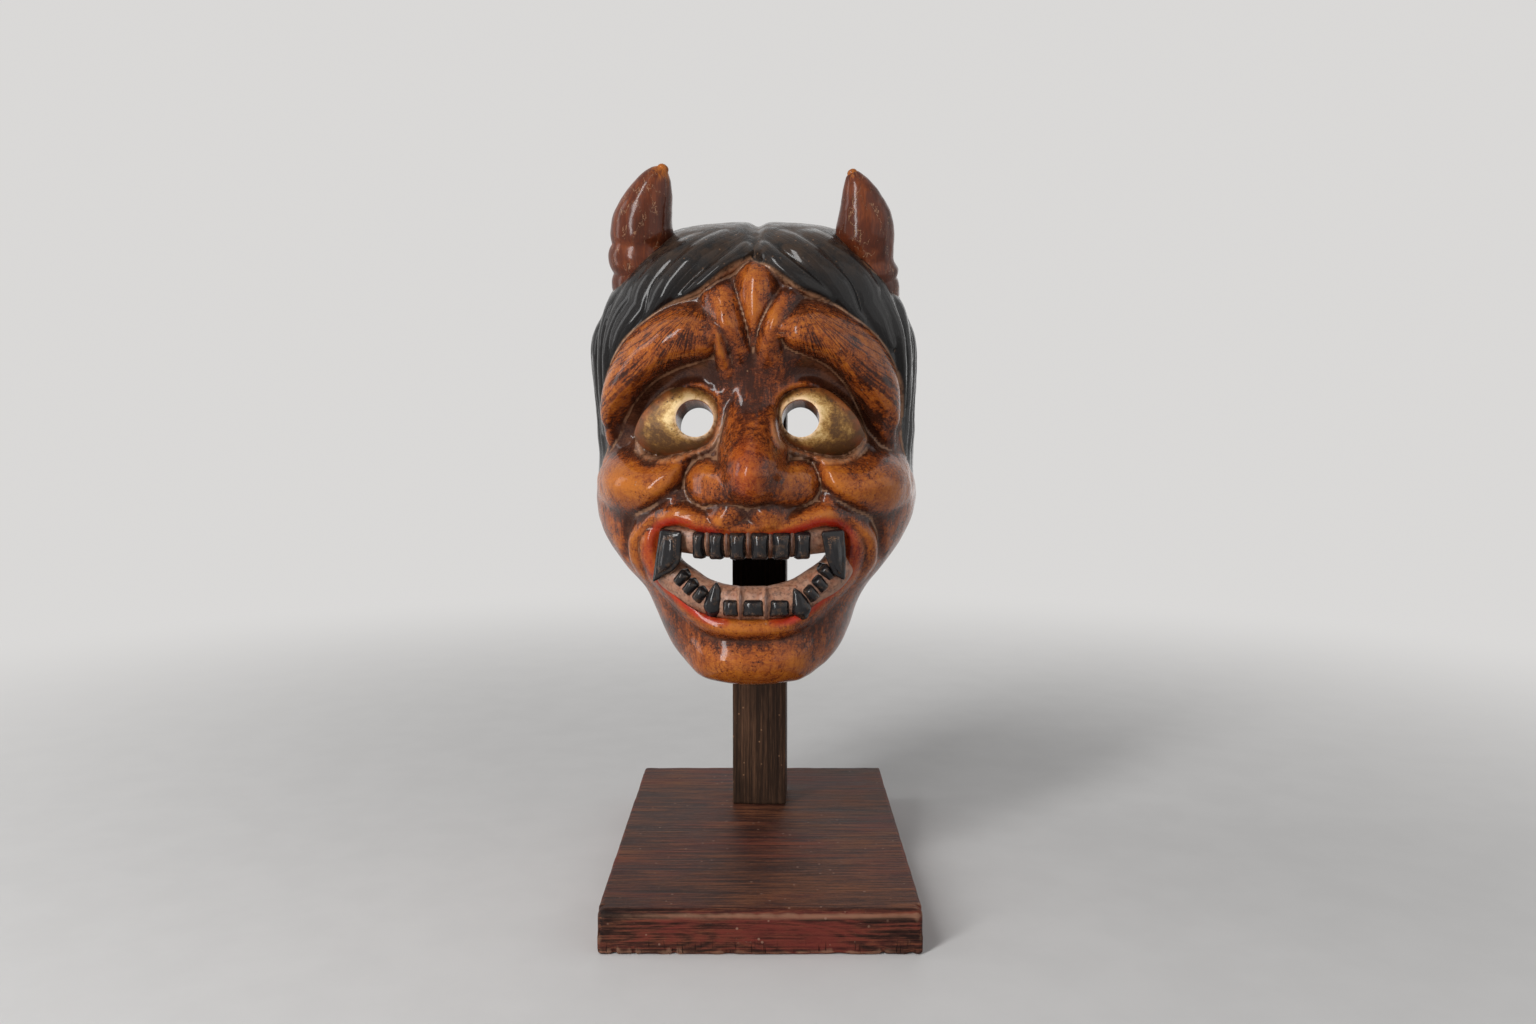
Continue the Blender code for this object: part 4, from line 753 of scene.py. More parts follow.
def block(size, cuts, edge_pull=1.7):
    """Box in millimetres, centred, its faces divided into grids that are finer towards the edges."""
    bm = bmesh.new()
    bmesh.ops.create_cube(bm, size=2)
    for axis, count in enumerate(cuts):
        lines = [edge for edge in bm.edges if abs(edge.verts[0].co[axis] - edge.verts[1].co[axis]) > 1]
        bmesh.ops.subdivide_edges(bm, edges=lines, cuts=count, use_grid_fill=True)
    unit = coordinates(bm)
    unit = np.sign(unit) * (1 - (1 - np.minimum(1, np.abs(unit))) ** edge_pull)
    move_vertices(bm, unit * np.array(size) / 2 * MM)
    bmesh.ops.recalc_face_normals(bm, faces=bm.faces)
    return bm


def round_edges(bm, size, radius):
    """Rounds a block's edges, with a radius for each vertex."""
    half = np.array(size) / 2
    points = coordinates(bm) / MM
    core = np.clip(points, -(half - radius[:, None]), half - radius[:, None])
    away = points - core
    reach = np.linalg.norm(away, axis=1)
    corner = (np.abs(away) > 1e-6).sum(axis=1) > 1
    scale = np.where(corner, radius / np.maximum(reach, 1e-9), 1.0)
    move_vertices(bm, (core + away * scale[:, None]) * MM)


def outline_block(half, q_low, q_high):
    """Straight-sided block with a symmetric x, z outline, between two depths."""
    right = spline(half, 6)
    outline = np.vstack([right, right[-2:0:-1] * (-1, 1)])
    bm = bmesh.new()
    verts = [bm.verts.new((x * MM, -q_low * MM, z * MM)) for x, z in outline]
    thicken(bm, [bm.faces.new(verts)], (0, (q_low - q_high) * MM, 0))
    return bm


def rod(radius, length, place, segments=64):
    """Straight round cutter, centred at a place."""
    bm = bmesh.new()
    bmesh.ops.create_cone(
        bm, cap_ends=True, segments=segments, radius1=radius * MM, radius2=radius * MM, depth=length * MM,
        matrix=place
    )
    return bm


def face_place(centre, turn):
    """Matrix that turns a shape and moves it to a point in face coordinates."""
    return Matrix.Translation(to_mesh_space(np.array(centre, float))) @ turn


def add_object(name, data):
    """New object, linked to the scene."""
    item = bpy.data.objects.new(name, data)
    bpy.context.scene.collection.objects.link(item)
    return item


def finished_mesh(name, bm):
    """Mesh made from a bmesh, which is freed."""
    mesh = bpy.data.meshes.new(name)
    bm.to_mesh(mesh)
    bm.free()
    return mesh


def cut(bm, cutters):
    """The closed mesh after every cutter is taken from it."""
    helpers = [add_object("helper", finished_mesh("helper", shape)) for shape in [bm] + cutters]
    for cutter in helpers[1:]:
        modifier = helpers[0].modifiers.new("cut", "BOOLEAN")
        modifier.solver = "MANIFOLD"
        modifier.object = cutter
    result = bmesh.new()
    result.from_object(helpers[0], bpy.context.evaluated_depsgraph_get())
    for helper in helpers:
        mesh = helper.data
        bpy.data.objects.remove(helper)
        bpy.data.meshes.remove(mesh)
    if not result.faces:
        raise RuntimeError("a cut left nothing of the mesh")
    return result


def neighbour_mean(points, first, second, count):
    """Mean of every vertex's neighbours."""
    size = len(count)
    total = [
        np.bincount(first, points[second, i], size) + np.bincount(second, points[first, i], size)
        for i in range(3)
    ]
    return np.stack(total, axis=1) / np.maximum(count, 1)[:, None]


def concavity(mesh, rounds):
    """Depth in millimetres of each vertex below its smoothed surroundings, negative on ridges."""
    points = np.zeros(len(mesh.vertices) * 3)
    mesh.vertices.foreach_get("co", points)
    points = points.reshape(-1, 3)
    normals = np.zeros(len(mesh.vertices) * 3)
    mesh.vertex_normals.foreach_get("vector", normals)
    edges = np.zeros(len(mesh.edges) * 2, int)
    mesh.edges.foreach_get("vertices", edges)
    first, second = edges.reshape(-1, 2).T
    count = np.bincount(edges, minlength=len(points))
    smooth = points
    for _ in range(rounds):
        smooth = (smooth + neighbour_mean(smooth, first, second, count)) / 2
    return ((smooth - points) * normals.reshape(-1, 3)).sum(axis=1) / MM


def store(mesh, name, values):
    """Keeps one value for each vertex under a name that materials read."""
    attribute = mesh.attributes.new(name, "FLOAT", "POINT")
    attribute.data.foreach_set("value", np.asarray(values, np.float32))


def add_piece(name, bm, finish, body, nodes=(), matrix=TO_ROW, sharp=60):
    """Finished piece in the row frame, riding on a body and standing for CAD nodes."""
    mesh = finished_mesh(name, bm)
    mesh.transform(matrix)
    mesh.shade_smooth()
    mesh.set_sharp_from_angle(angle=math.radians(sharp))
    mesh.materials.clear()
    mesh.materials.append(finish)
    piece = add_object(name, mesh)
    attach(piece, body)
    if nodes:
        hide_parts(*nodes)
    return piece


def store_wear_and_shade(mesh, fine_rounds=4, broad_rounds=40):
    """Keeps how far each vertex lies on a ridge, in a crease or in a wider recess, for worn edges, dust and
    painted shade.
    """
    fine = concavity(mesh, fine_rounds)
    broad = concavity(mesh, broad_rounds)
    store(mesh, "crease", np.clip(fine / FULL_CREASE, 0, 1))
    store(mesh, "ridge", np.clip(-fine / FULL_RIDGE, 0, 1))
    store(mesh, "shade", np.clip(broad / FULL_SHADE, -1, 1))


class Finish:
    """Procedural material, built node by node from places in the row frame."""

    def __init__(self, name, **shader_values):
        self.material = bpy.data.materials.new(name)
        self.material.use_nodes = True
        self.tree = self.material.node_tree
        self.shader = self.tree.nodes["Principled BSDF"]
        for socket, value in shader_values.items():
            self.shader.inputs[socket.replace("_", " ")].default_value = value
        self.place = self.node("TexCoord").outputs["Object"]

    def node(self, kind, inputs=None, **settings):
        """New node with its settings, each input linked to a socket or set to a value."""
        node = self.tree.nodes.new("ShaderNode" + kind)
        for name, value in settings.items():
            setattr(node, name, value)
        for key, value in (inputs or {}).items():
            if isinstance(value, bpy.types.NodeSocket):
                self.tree.links.new(value, node.inputs[key])
            else:
                node.inputs[key].default_value = value
        return node

    def mapped(self, scale, shift):
        """Places scaled along the axes and shifted by the same step along each."""
        inputs = {"Vector": self.place, "Scale": scale, "Location": [shift] * 3}
        return self.node("Mapping", inputs).outputs[0]

    def noise(self, size, stretch=(1, 1, 1), detail=4, rough=0.55, warp=0.0, shift=0.0):
        """Noise from 0 to 1 with features of about size mm, drawn out along the axes by stretch."""
        scale = [1 / (size * MM * length) for length in stretch]
        inputs = {"Vector": self.mapped(scale, shift), "Scale": 1.0, "Detail": detail, "Roughness": rough,
                  "Distortion": warp}
        return self.node("TexNoise", inputs).outputs["Fac"]

    def cells(self, size, feature="F1", shift=0.0, wander=None):
        """Distance in scattered cells of about size mm, pushed about by a value where one is given."""
        place = self.mapped([1 / (size * MM)] * 3, shift)
        if wander is not None:
            place = self.node("VectorMath", {0: place, 1: wander}, operation="ADD").outputs[0]
        inputs = {"Vector": place, "Scale": 1.0}
        return self.node("TexVoronoi", inputs, feature=feature).outputs["Distance"]

    def attribute(self, name):
        """Value that the mesh keeps under a name."""
        return self.node("Attribute", attribute_name=name).outputs["Fac"]

    def attributes(self, *names):
        """Values that the mesh keeps under some names."""
        return [self.attribute(name) for name in names]

    def flecks(self, size, marks, spread, patches, shifts):
        """Small round marks about size mm apart, in patches of about spread mm."""
        dots = self.ramp(self.cells(size, shift=shifts[0]), *marks)
        return self.product(dots, self.ramp(self.noise(spread, shift=shifts[1]), *patches))

    def ramp(self, value, low, high):
        """Smooth step of a value from 0 at low to 1 at high."""
        inputs = {"Value": value, "From Min": low, "From Max": high}
        return self.node("MapRange", inputs, interpolation_type="SMOOTHSTEP").outputs["Result"]

    def math(self, operation, first, second=0.0):
        """One operation on two values."""
        return self.node("Math", {0: first, 1: second}, operation=operation).outputs[0]

    def total(self, *terms):
        """Sum of values, each with its weight."""
        result = None
        for value, weight in terms:
            term = self.math("MULTIPLY", value, weight)
            result = term if result is None else self.math("ADD", result, term)
        return result

    def product(self, first, *others):
        """Product of values."""
        for other in others:
            first = self.math("MULTIPLY", first, other)
        return first

    def mix(self, share, first, second):
        """Colour between two colours."""
        inputs = {0: share, 6: self.full(first), 7: self.full(second)}
        return self.node("Mix", inputs, data_type="RGBA").outputs[2]

    def over(self, base, tone, *shares):
        """Base colour with another laid over it by the product of shares."""
        return self.mix(self.product(*shares), base, tone)

    def tones(self, value, stops):
        """Colour read from a row of stops."""
        node = self.node("ValToRGB", {"Fac": value})
        elements = node.color_ramp.elements
        for element, (place, tone) in zip(elements, (stops[0], stops[-1])):
            element.position = place
            element.color = self.full(tone)
        for place, tone in stops[1:-1]:
            elements.new(place).color = self.full(tone)
        return node.outputs["Color"]

    @staticmethod
    def full(tone):
        """Colour with its alpha, or the socket that gives one."""
        return tone if isinstance(tone, bpy.types.NodeSocket) else (*tone, 1.0)

    def done(self, tone, roughness, height, depth):
        """Material with its colour, roughness and a bump of some depth in mm."""
        bump = self.node("Bump", {"Height": height, "Strength": 1.0, "Distance": depth * MM})
        self.tree.links.new(tone, self.shader.inputs["Base Color"])
        self.tree.links.new(roughness, self.shader.inputs["Roughness"])
        self.tree.links.new(bump.outputs[0], self.shader.inputs["Normal"])
        return self.material


def face_finish(colours):
    """Lacquered skin, black hair and the bare wood behind, from the masks that the face keeps, with painted
    shade in the creases and recesses and a little painted light on the broad rises.
    """
    f = Finish("face_lacquer", Coat_Weight=0.38, Coat_Roughness=0.1, Specular_IOR_Level=0.05)
    hair, warm, painted_shade, red, bare = f.attributes("hair", "warm", "painted_shade", "red", "bare")
    crease, ridge, shade, hollow = f.attributes("crease", "ridge", "shade", "hollow")
    brow, fan, reach, strand = f.attributes("brow", "fan", "reach", "strand")
    lid, crown, bead = f.attributes("lid", "crown", "bead")
    blotch = f.noise(16, detail=5, rough=0.6)
    patch = f.noise(6, detail=5, rough=0.65, shift=4)
    streak = f.noise(1.6, stretch=(1, 1, 4), detail=5, rough=0.6, warp=0.6)
    hatch = f.noise(0.8, stretch=(3.5, 1, 1.2), detail=4, rough=0.7, warp=1.5, shift=9)
    fleck = f.noise(0.6, detail=2, shift=2)
    strokes = f.product(
        f.ramp(f.noise(0.5, stretch=(1, 1, 6), detail=3, rough=0.6, warp=1.2, shift=14), 0.56, 0.66),
        f.ramp(f.noise(7, detail=3, shift=17), 0.4, 0.56),
    )
    pits = f.flecks(2.2, (0.24, 0.12), 8, (0.44, 0.58), (8, 19))
    crackle = f.product(
        f.ramp(f.cells(2.1, "DISTANCE_TO_EDGE", 5, f.math("MULTIPLY", patch, 2.5)), 0.12, 0.03),
        f.ramp(f.noise(11, detail=3, shift=12), 0.44, 0.58),
    )
    combed = f.node("CombineXYZ", {"X": f.total((fan, 1.9), (patch, 0.8)),
                                   "Y": f.math("MULTIPLY", reach, 0.08)})
    combed = f.node("TexNoise", {"Vector": combed.outputs[0], "Scale": 1.0, "Detail": 3, "Roughness": 0.6})
    line = f.product(f.ramp(combed.outputs["Fac"], 0.48, 0.6), brow)
    groove = f.product(f.ramp(f.math("SINE", f.total((strand, 3.4), (blotch, 2.0))), 0.3, 1.0), hair)
    # Painted shade and light: the shade patches, the recess depth and the broad hollow darken the recesses,
    # and the last two lighten the broad rises a little
    tone = f.total((warm, 0.26), (painted_shade, -0.26), (blotch, 1.1), (patch, 1.1), (streak, 1.2), (hatch, 1.4),
                   (shade, -0.25), (ridge, 0.16), (brow, 0.06), (line, -0.5), (crackle, -0.3),
                   (hollow, -0.4), (strokes, -0.36), (pits, -0.5))
    tone = f.math("SUBTRACT", tone, 2.06)
    skin = f.tones(tone, [(0.0, colours.deep_brown), (0.3, colours.red_brown), (0.55, colours.rust),
                          (1.0, colours.orange)])
    skin = f.over(skin, colours.lip_red, red, f.ramp(patch, 0.2, 0.5), 0.95)
    bloom = f.product(f.ramp(shade, 0.1, 0.8), f.ramp(f.total((patch, 0.6), (hatch, 0.6)), 0.5, 0.72), 0.55)
    skin = f.mix(bloom, skin, colours.recess_dust)
    # Painted shade: deep brown laid into the creases
    skin = f.over(skin, colours.deep_brown, f.ramp(crease, 0.2, 0.8), 0.55)
    skin = f.over(skin, colours.worn_ground, lid, f.ramp(patch, 0.3, 0.6), 0.7)
    worn = f.product(f.ramp(crease, 0.75, 1.0), f.ramp(blotch, 0.38, 0.55), 0.6)
    skin = f.mix(worn, skin, colours.worn_ground)
    chips = f.flecks(3.2, (0.16, 0.08), 9, (0.56, 0.66), (0, 7))
    skin = f.over(skin, colours.worn_ground, chips, 0.7)
    dust = f.product(crown, f.ramp(patch, 0.3, 0.7), 0.8)
    black = f.mix(dust, colours.hair_black, colours.hair_dust)
    specks = f.ramp(f.cells(3.6, shift=4), 0.14, 0.07)
    black = f.over(black, colours.worn_ground, specks, crown, 0.5)
    rubs = f.ramp(f.total((crease, 0.9), (bead, 1.0)), 0.65, 1.0)
    black = f.over(black, colours.worn_ground, rubs, f.ramp(patch, 0.4, 0.6), 0.55)
    painted = f.mix(f.ramp(hair, 0.35, 0.6), skin, black)
    edge = f.product(f.ramp(hair, 0.08, 0.4), f.ramp(hair, 0.92, 0.5), f.ramp(patch, 0.3, 0.55), 0.75)
    painted = f.mix(edge, painted, colours.worn_ground)
    wood = f.mix(f.ramp(streak, 0.35, 0.7), colours.bare_wood, colours.deep_brown)
    painted = f.mix(bare, painted, wood)
    roughness = f.total((fleck, 0.16), (patch, 0.16), (worn, 0.3), (bloom, 0.3), (dust, 0.5), (bare, 0.3),
                        (edge, 0.2), (hair, -0.06))
    roughness = f.math("ADD", roughness, 0.1)
    height = f.total((streak, 0.25), (hatch, 0.28), (fleck, 0.1), (line, -0.45), (groove, -0.55),
                     (chips, -0.8), (crackle, -0.3), (strokes, -0.25), (pits, -0.5))
    return f.done(painted, roughness, height, 0.28)


def gum_finish(colours):
    """Pale tan gums, stained rust and brown in patches, with painted shade in the creases and recesses
    round the teeth.
    """
    f = Finish("gum_paint")
    crease, shade = f.attributes("crease", "shade")
    patch = f.noise(4, detail=5, rough=0.6)
    fleck = f.noise(0.7, detail=3, shift=3)
    tone = f.over(colours.gum_tan, colours.rust, f.ramp(patch, 0.4, 0.7), 0.6)
    stain = f.ramp(f.noise(1.3, detail=4, shift=6), 0.46, 0.66)
    # Painted shade in the creases and recesses round the teeth
    recess = f.ramp(f.total((crease, 0.6), (shade, 0.6)), 0.2, 0.9)
    tone = f.over(tone, colours.deep_brown, stain, 0.6)
    tone = f.over(tone, colours.deep_brown, recess, 0.8)
    roughness = f.total((fleck, 0.2), (patch, 0.3))
    return f.done(tone, f.math("ADD", roughness, 0.12), f.total((fleck, 0.5), (patch, 0.6)), 0.3)


def tooth_finish(colours):
    """Glossy black, dusty in patches and rubbed pale along the edges."""
    f = Finish("tooth_lacquer", Coat_Weight=0.5, Coat_Roughness=0.08, Specular_IOR_Level=0.05)
    ridge = f.attribute("ridge")
    patch = f.noise(3, detail=5, rough=0.6)
    fleck = f.noise(0.5, detail=3, shift=3)
    tone = f.mix(f.ramp(patch, 0.5, 0.75), colours.tooth_black, colours.hair_dust)
    tone = f.over(tone, colours.worn_ground, f.ramp(ridge, 0.4, 1.0), f.ramp(fleck, 0.45, 0.65), 0.45)
    roughness = f.total((fleck, 0.1), (patch, 0.14))
    return f.done(tone, f.math("ADD", roughness, 0.03), f.total((fleck, 0.25), (patch, 0.8)), 0.2)


def gilt_finish(colours):
    """Mottled gilding, pale round the pupil with a painted highlight about it, and tarnished towards the
    edge.
    """
    f = Finish("eye_gilding", Metallic=0.2)
    rim, near, edge, low = f.attributes("rim", "near", "edge", "low")
    blotch = f.noise(7, detail=5, rough=0.65)
    patch = f.noise(2.2, detail=6, rough=0.75, shift=5)
    rubs = f.noise(0.5, stretch=(2.5, 1, 1), detail=4, rough=0.75, warp=1.5, shift=8)
    # The near share is a painted highlight round the pupil
    tone = f.total((blotch, 2.0), (patch, 1.5), (rubs, 0.9), (edge, -0.5), (low, -0.3), (near, 0.45))
    gold = f.tones(f.math("SUBTRACT", tone, 1.8), [(0.05, colours.tarnish), (0.35, (0.26, 0.125, 0.026)),
                                                   (0.6, (0.46, 0.27, 0.080)), (0.95, colours.gilt)])
    gold = f.over(gold, (0.70, 0.48, 0.29), rim, f.ramp(patch, 0.35, 0.55), 0.9)
    gold = f.over(gold, colours.rust, edge, f.ramp(blotch, 0.4, 0.6), 0.6)
    specks = f.flecks(2.4, (0.22, 0.1), 6, (0.46, 0.58), (3, 1))
    gold = f.over(gold, colours.deep_brown, specks, 0.8)
    roughness = f.math("ADD", f.total((patch, 0.3), (rubs, 0.3)), 0.16)
    return f.done(gold, roughness, f.total((patch, 0.5), (rubs, 0.5), (specks, -0.5)), 0.22)


def horn_finish(colours):
    """Dark lacquer, thin along the length and rubbed to orange at the tip, with painted shade in its
    grooves and a little painted light on its rises.
    """
    f = Finish("horn_lacquer", Coat_Weight=0.38, Coat_Roughness=0.14, Specular_IOR_Level=0.05)
    tip, crease, ridge, shade = f.attributes("tip", "crease", "ridge", "shade")
    blotch = f.noise(10, stretch=(1, 1, 2), detail=5)
    streak = f.noise(1.5, stretch=(1, 1, 7), detail=5, warp=0.8)
    fleck = f.noise(0.6, detail=3, shift=5)
    # Painted shade: the recess depth darkens the grooves and lightens the rises
    tone = f.total((blotch, 0.8), (streak, 0.6), (ridge, 0.2), (tip, 0.12), (shade, -0.4))
    lacquer = f.tones(f.math("SUBTRACT", tone, 0.3), [(0.1, colours.deep_brown), (0.4, colours.horn_brown),
                                                      (0.75, colours.horn_rust)])
    rubbed = f.ramp(f.total((tip, 1.0), (streak, 0.28), (blotch, 0.2)), 1.12, 1.24)
    lacquer = f.over(lacquer, colours.orange, rubbed, 0.85)
    bend = f.math("ABSOLUTE", f.math("SUBTRACT", f.noise(5, stretch=(1, 1, 2.2), detail=4, shift=7), 0.5))
    cracks = f.product(f.ramp(bend, 0.014, 0.004), f.ramp(f.noise(6, detail=3, shift=12), 0.47, 0.56))
    lacquer = f.over(lacquer, colours.worn_ground, cracks, 0.6)
    lacquer = f.over(lacquer, colours.worn_ground, f.ramp(crease, 0.3, 1.0), f.ramp(streak, 0.4, 0.6), 0.5)
    roughness = f.math("ADD", f.total((fleck, 0.2), (blotch, 0.2), (rubbed, 0.2)), 0.12)
    return f.done(lacquer, roughness, f.total((streak, 0.4), (fleck, 0.15), (cracks, -0.8)), 0.3)


def board_finish(colours):
    """Stained board: fine grain along its width, rubbed edges and red paint on the sides."""
    f = Finish("board_stain", Specular_IOR_Level=0.08)
    ridge, flank, foot = f.attributes("ridge", "flank", "foot")
    blotch = f.noise(26, stretch=(2, 1, 1), detail=6, rough=0.65)
    sweep = f.noise(30, stretch=(3, 1, 0.5), detail=2, shift=3)
    grain = f.noise(2.6, stretch=(34, 1, 0.6), detail=6, rough=0.7, warp=0.3)
    fine = f.noise(1.0, stretch=(26, 1, 0.5), detail=4, rough=0.75, shift=11)
    pores = f.noise(0.5, stretch=(6, 1, 1), detail=3, rough=0.75, shift=8)
    bands = f.math("SINE", f.total((sweep, 95.0), (grain, 3.0)))
    tone = f.total((grain, 1.6), (fine, 1.8), (pores, 0.9), (blotch, 0.9), (f.product(bands, flank), 0.12))
    tone = f.math("SUBTRACT", tone, 2.1)
    wood = f.tones(tone, [(0.1, (0.012, 0.006, 0.005)), (0.45, colours.board_brown),
                          (0.9, (0.21, 0.080, 0.038))])
    tint = f.ramp(f.noise(34, stretch=(2, 1, 1), detail=4, shift=15), 0.45, 0.65)
    wood = f.over(wood, colours.board_red, tint, f.ramp(grain, 0.35, 0.65), 0.4)
    kept = f.total((blotch, 1.0), (grain, 0.6), (fine, 0.4), (bands, 0.06))
    wood = f.over(wood, colours.board_red, flank, f.ramp(kept, 0.9, 1.2), 0.75)
    rubbed = f.product(f.ramp(f.total((ridge, 1.0), (grain, 0.5)), 0.45, 0.95), f.ramp(blotch, 0.3, 0.6))
    wood = f.over(wood, (0.30, 0.16, 0.10), rubbed, 0.7)
    scratches = f.product(
        f.ramp(f.noise(0.6, stretch=(9, 3, 1), detail=2, warp=2.0, shift=6), 0.68, 0.74),
        f.ramp(f.noise(24, shift=2), 0.5, 0.62),
    )
    specks = f.flecks(5.5, (0.12, 0.07), 14, (0.42, 0.56), (6, 9))
    pale = f.math("MAXIMUM", f.product(scratches, 0.6), f.product(specks, 0.7))
    wood = f.mix(pale, wood, (0.30, 0.17, 0.12))
    slits = f.ramp(f.noise(0.8, stretch=(1, 1, 14), detail=2, shift=13), 0.62, 0.7)
    slits = f.product(slits, foot)
    wood = f.over(wood, (0.010, 0.005, 0.004), slits, 0.85)
    roughness = f.math("ADD", f.total((blotch, 0.25), (grain, 0.25), (pores, 0.15), (rubbed, -0.1)), 0.2)
    height = f.total((grain, 0.8), (fine, 0.5), (pores, 0.5), (scratches, -0.3), (slits, -1.0))
    return f.done(wood, roughness, height, 0.35)


def post_finish(colours, name="post_stain"):
    """Dark stained wood with upright grain."""
    f = Finish(name, Specular_IOR_Level=0.1)
    blotch = f.noise(18, stretch=(1, 1, 4), detail=4)
    grain = f.noise(1.8, stretch=(1, 1, 40), detail=5, rough=0.65, warp=0.4)
    pores = f.noise(0.5, stretch=(1, 1, 16), detail=3, shift=4)
    tone = f.math("SUBTRACT", f.total((grain, 1.3), (pores, 0.6), (blotch, 0.7)), 0.82)
    wood = f.tones(tone, [(0.1, (0.010, 0.006, 0.005)), (0.5, colours.post_brown),
                          (0.95, (0.16, 0.080, 0.045))])
    specks = f.product(f.ramp(f.cells(5, shift=2), 0.12, 0.06), f.ramp(blotch, 0.45, 0.6))
    wood = f.over(wood, colours.worn_ground, specks, 0.6)
    roughness = f.math("ADD", f.total((grain, 0.3), (blotch, 0.2)), 0.22)
    return f.done(wood, roughness, f.total((grain, 0.8), (pores, 0.4)), 0.3)


def steel_finish(colours):
    """Turned steel, a little stained."""
    f = Finish("screw_steel", Metallic=1.0)
    patch = f.noise(2, detail=4)
    fleck = f.noise(0.3, detail=3, shift=2)
    tone = f.mix(f.ramp(patch, 0.4, 0.8), colours.steel, (0.20, 0.16, 0.13))
    return f.done(tone, f.math("ADD", f.total((fleck, 0.3), (patch, 0.2)), 0.12), fleck, 0.05)


def build_face(carving, colours):
    """Carved shell, hollowed from behind and cut through at the mouth, pupils and cord holes."""
    bm = half_form(carving.columns, carving.rows)
    form = vertex_rows(bm)
    normals = vertex_normals(bm)
    rim = form[:, 1] < 0.01
    normals[rim, 1] = 0
    normals /= np.maximum(np.linalg.norm(normals, axis=1, keepdims=True), 1e-9)
    carved = carve(form, normals, carving)
    bm.edges.index_update()
    bm.verts.index_update()
    first, second = np.array([[vert.index for vert in edge.verts] for edge in bm.edges]).T
    count = np.bincount(np.concatenate([first, second]), minlength=len(form))
    soft = (carved + neighbour_mean(carved, first, second, count)) / 2
    carved = np.where(rim[:, None], carved, soft)
    place_vertices(bm, carved)
    masks = paint_masks(form)
    from_horn = np.full(len(form), 1e9)
    for rows in HORNS.values():
        for row in spline(rows, 4):
            from_horn = np.minimum(from_horn, np.linalg.norm(carved - row[:3], axis=1) - row[3])
    masks["bead"] = np.exp(-((from_horn / BEAD_WIDTH) ** 2)) * masks["hair"]
    tree = kdtree.KDTree(len(carved))
    for index, point in enumerate(to_mesh_space(carved)):
        tree.insert(point, index)
    tree.balance()
    close_back(bm, RIM_DEPTH)
    hollow = half_form(*HOLLOW_GRID, HOLLOW_SHARES, HOLLOW_WALLS)
    smooth = vertex_rows(hollow)
    gouges = unevenness(smooth, *GOUGES)
    place_vertices(hollow, smooth + vertex_normals(hollow) * gouges[:, None])
    close_back(hollow, -HOLLOW_OVERSHOOT)
    cutters = [hollow, outline_block(MOUTH_OUTLINE, *MOUTH_CUT)]
    lean = Matrix.Rotation(math.pi / 2 - PUPIL_DROP, 4, "X")
    across = Matrix.Rotation(math.pi / 2, 4, "Y")
    for side in (-1, 1):
        centre = (EYE_SHIFT + side * PUPIL[0], PUPIL_CUT_DEPTH, PUPIL[1] - PUPIL_CUT_DROP)
        cutters.append(rod(PUPIL_RADIUS, PUPIL_CUT_LENGTH, face_place(centre, lean)))
        cord_hole = face_place(np.array(CORD_HOLE) * (side, 1, 1), across)
        cutters.append(rod(CORD_HOLE_RADIUS, CORD_HOLE_LENGTH, cord_hole, 32))
    bm = cut(bm, cutters)
    found = [tree.find(vert.co) for vert in bm.verts]
    source = np.array([index for _, index, _ in found])
    bare = ramp(np.array([distance for _, _, distance in found]) / MM / BARE_FADE - BARE_START)
    piece = add_piece("carved_face", bm, face_finish(colours), "mask", ["mask_shell"])
    for name, values in masks.items():
        store(piece.data, name, values[source])
    store(piece.data, "bare", bare)
    store_wear_and_shade(piece.data)
    # Broad hollow: painted shade in the broad recesses and a little painted light on the broad rises
    store(piece.data, "hollow", np.clip(concavity(piece.data, HOLLOW_ROUNDS) / FULL_HOLLOW, -0.3, 1))


def mirrored_path(half):
    """Rows of a path that runs from its left end through the middle to its right end."""
    return [(-x, q, z) for x, q, z in half[:0:-1]] + list(half)


def tooth_gaps(teeth):
    """Middle of each gap between neighbouring teeth, as x."""
    return [(a[0] + a[1] / 2 + b[0] - b[1] / 2) / 2 for a, b in zip(teeth, teeth[1:])]


def build_gums(colours):
    """Upper and lower gums, with a small ridge between the front teeth."""
    finish = gum_finish(colours)
    for name, half, radius, teeth in (
        ("upper_gum", UPPER_GUM, GUM_RADII[0], UPPER_TEETH),
        ("lower_gum", LOWER_GUM, GUM_RADII[1], LOWER_INCISORS),
    ):
        rows = [(*point, radius) for point in mirrored_path(half)]
        bm, _ = bar_along(rows, *GUM_GRID, (0, 0, 1), (1.0, 0.95))
        points = vertex_rows(bm)
        for gap in tooth_gaps(teeth):
            ridge = GUM_RIDGE * np.exp(-(((points[:, 0] - gap) / GUM_RIDGE_WIDTH) ** 2))
            points[:, 1] += ridge * (points[:, 1] > GUM_FRONT)
        points += unevenness(points, *GUM_MARKS)[:, None] * (0.3, 1, 0.6)
        place_vertices(bm, points)
        piece = add_piece(name, bm, finish, "mask")
        store_wear_and_shade(piece.data)


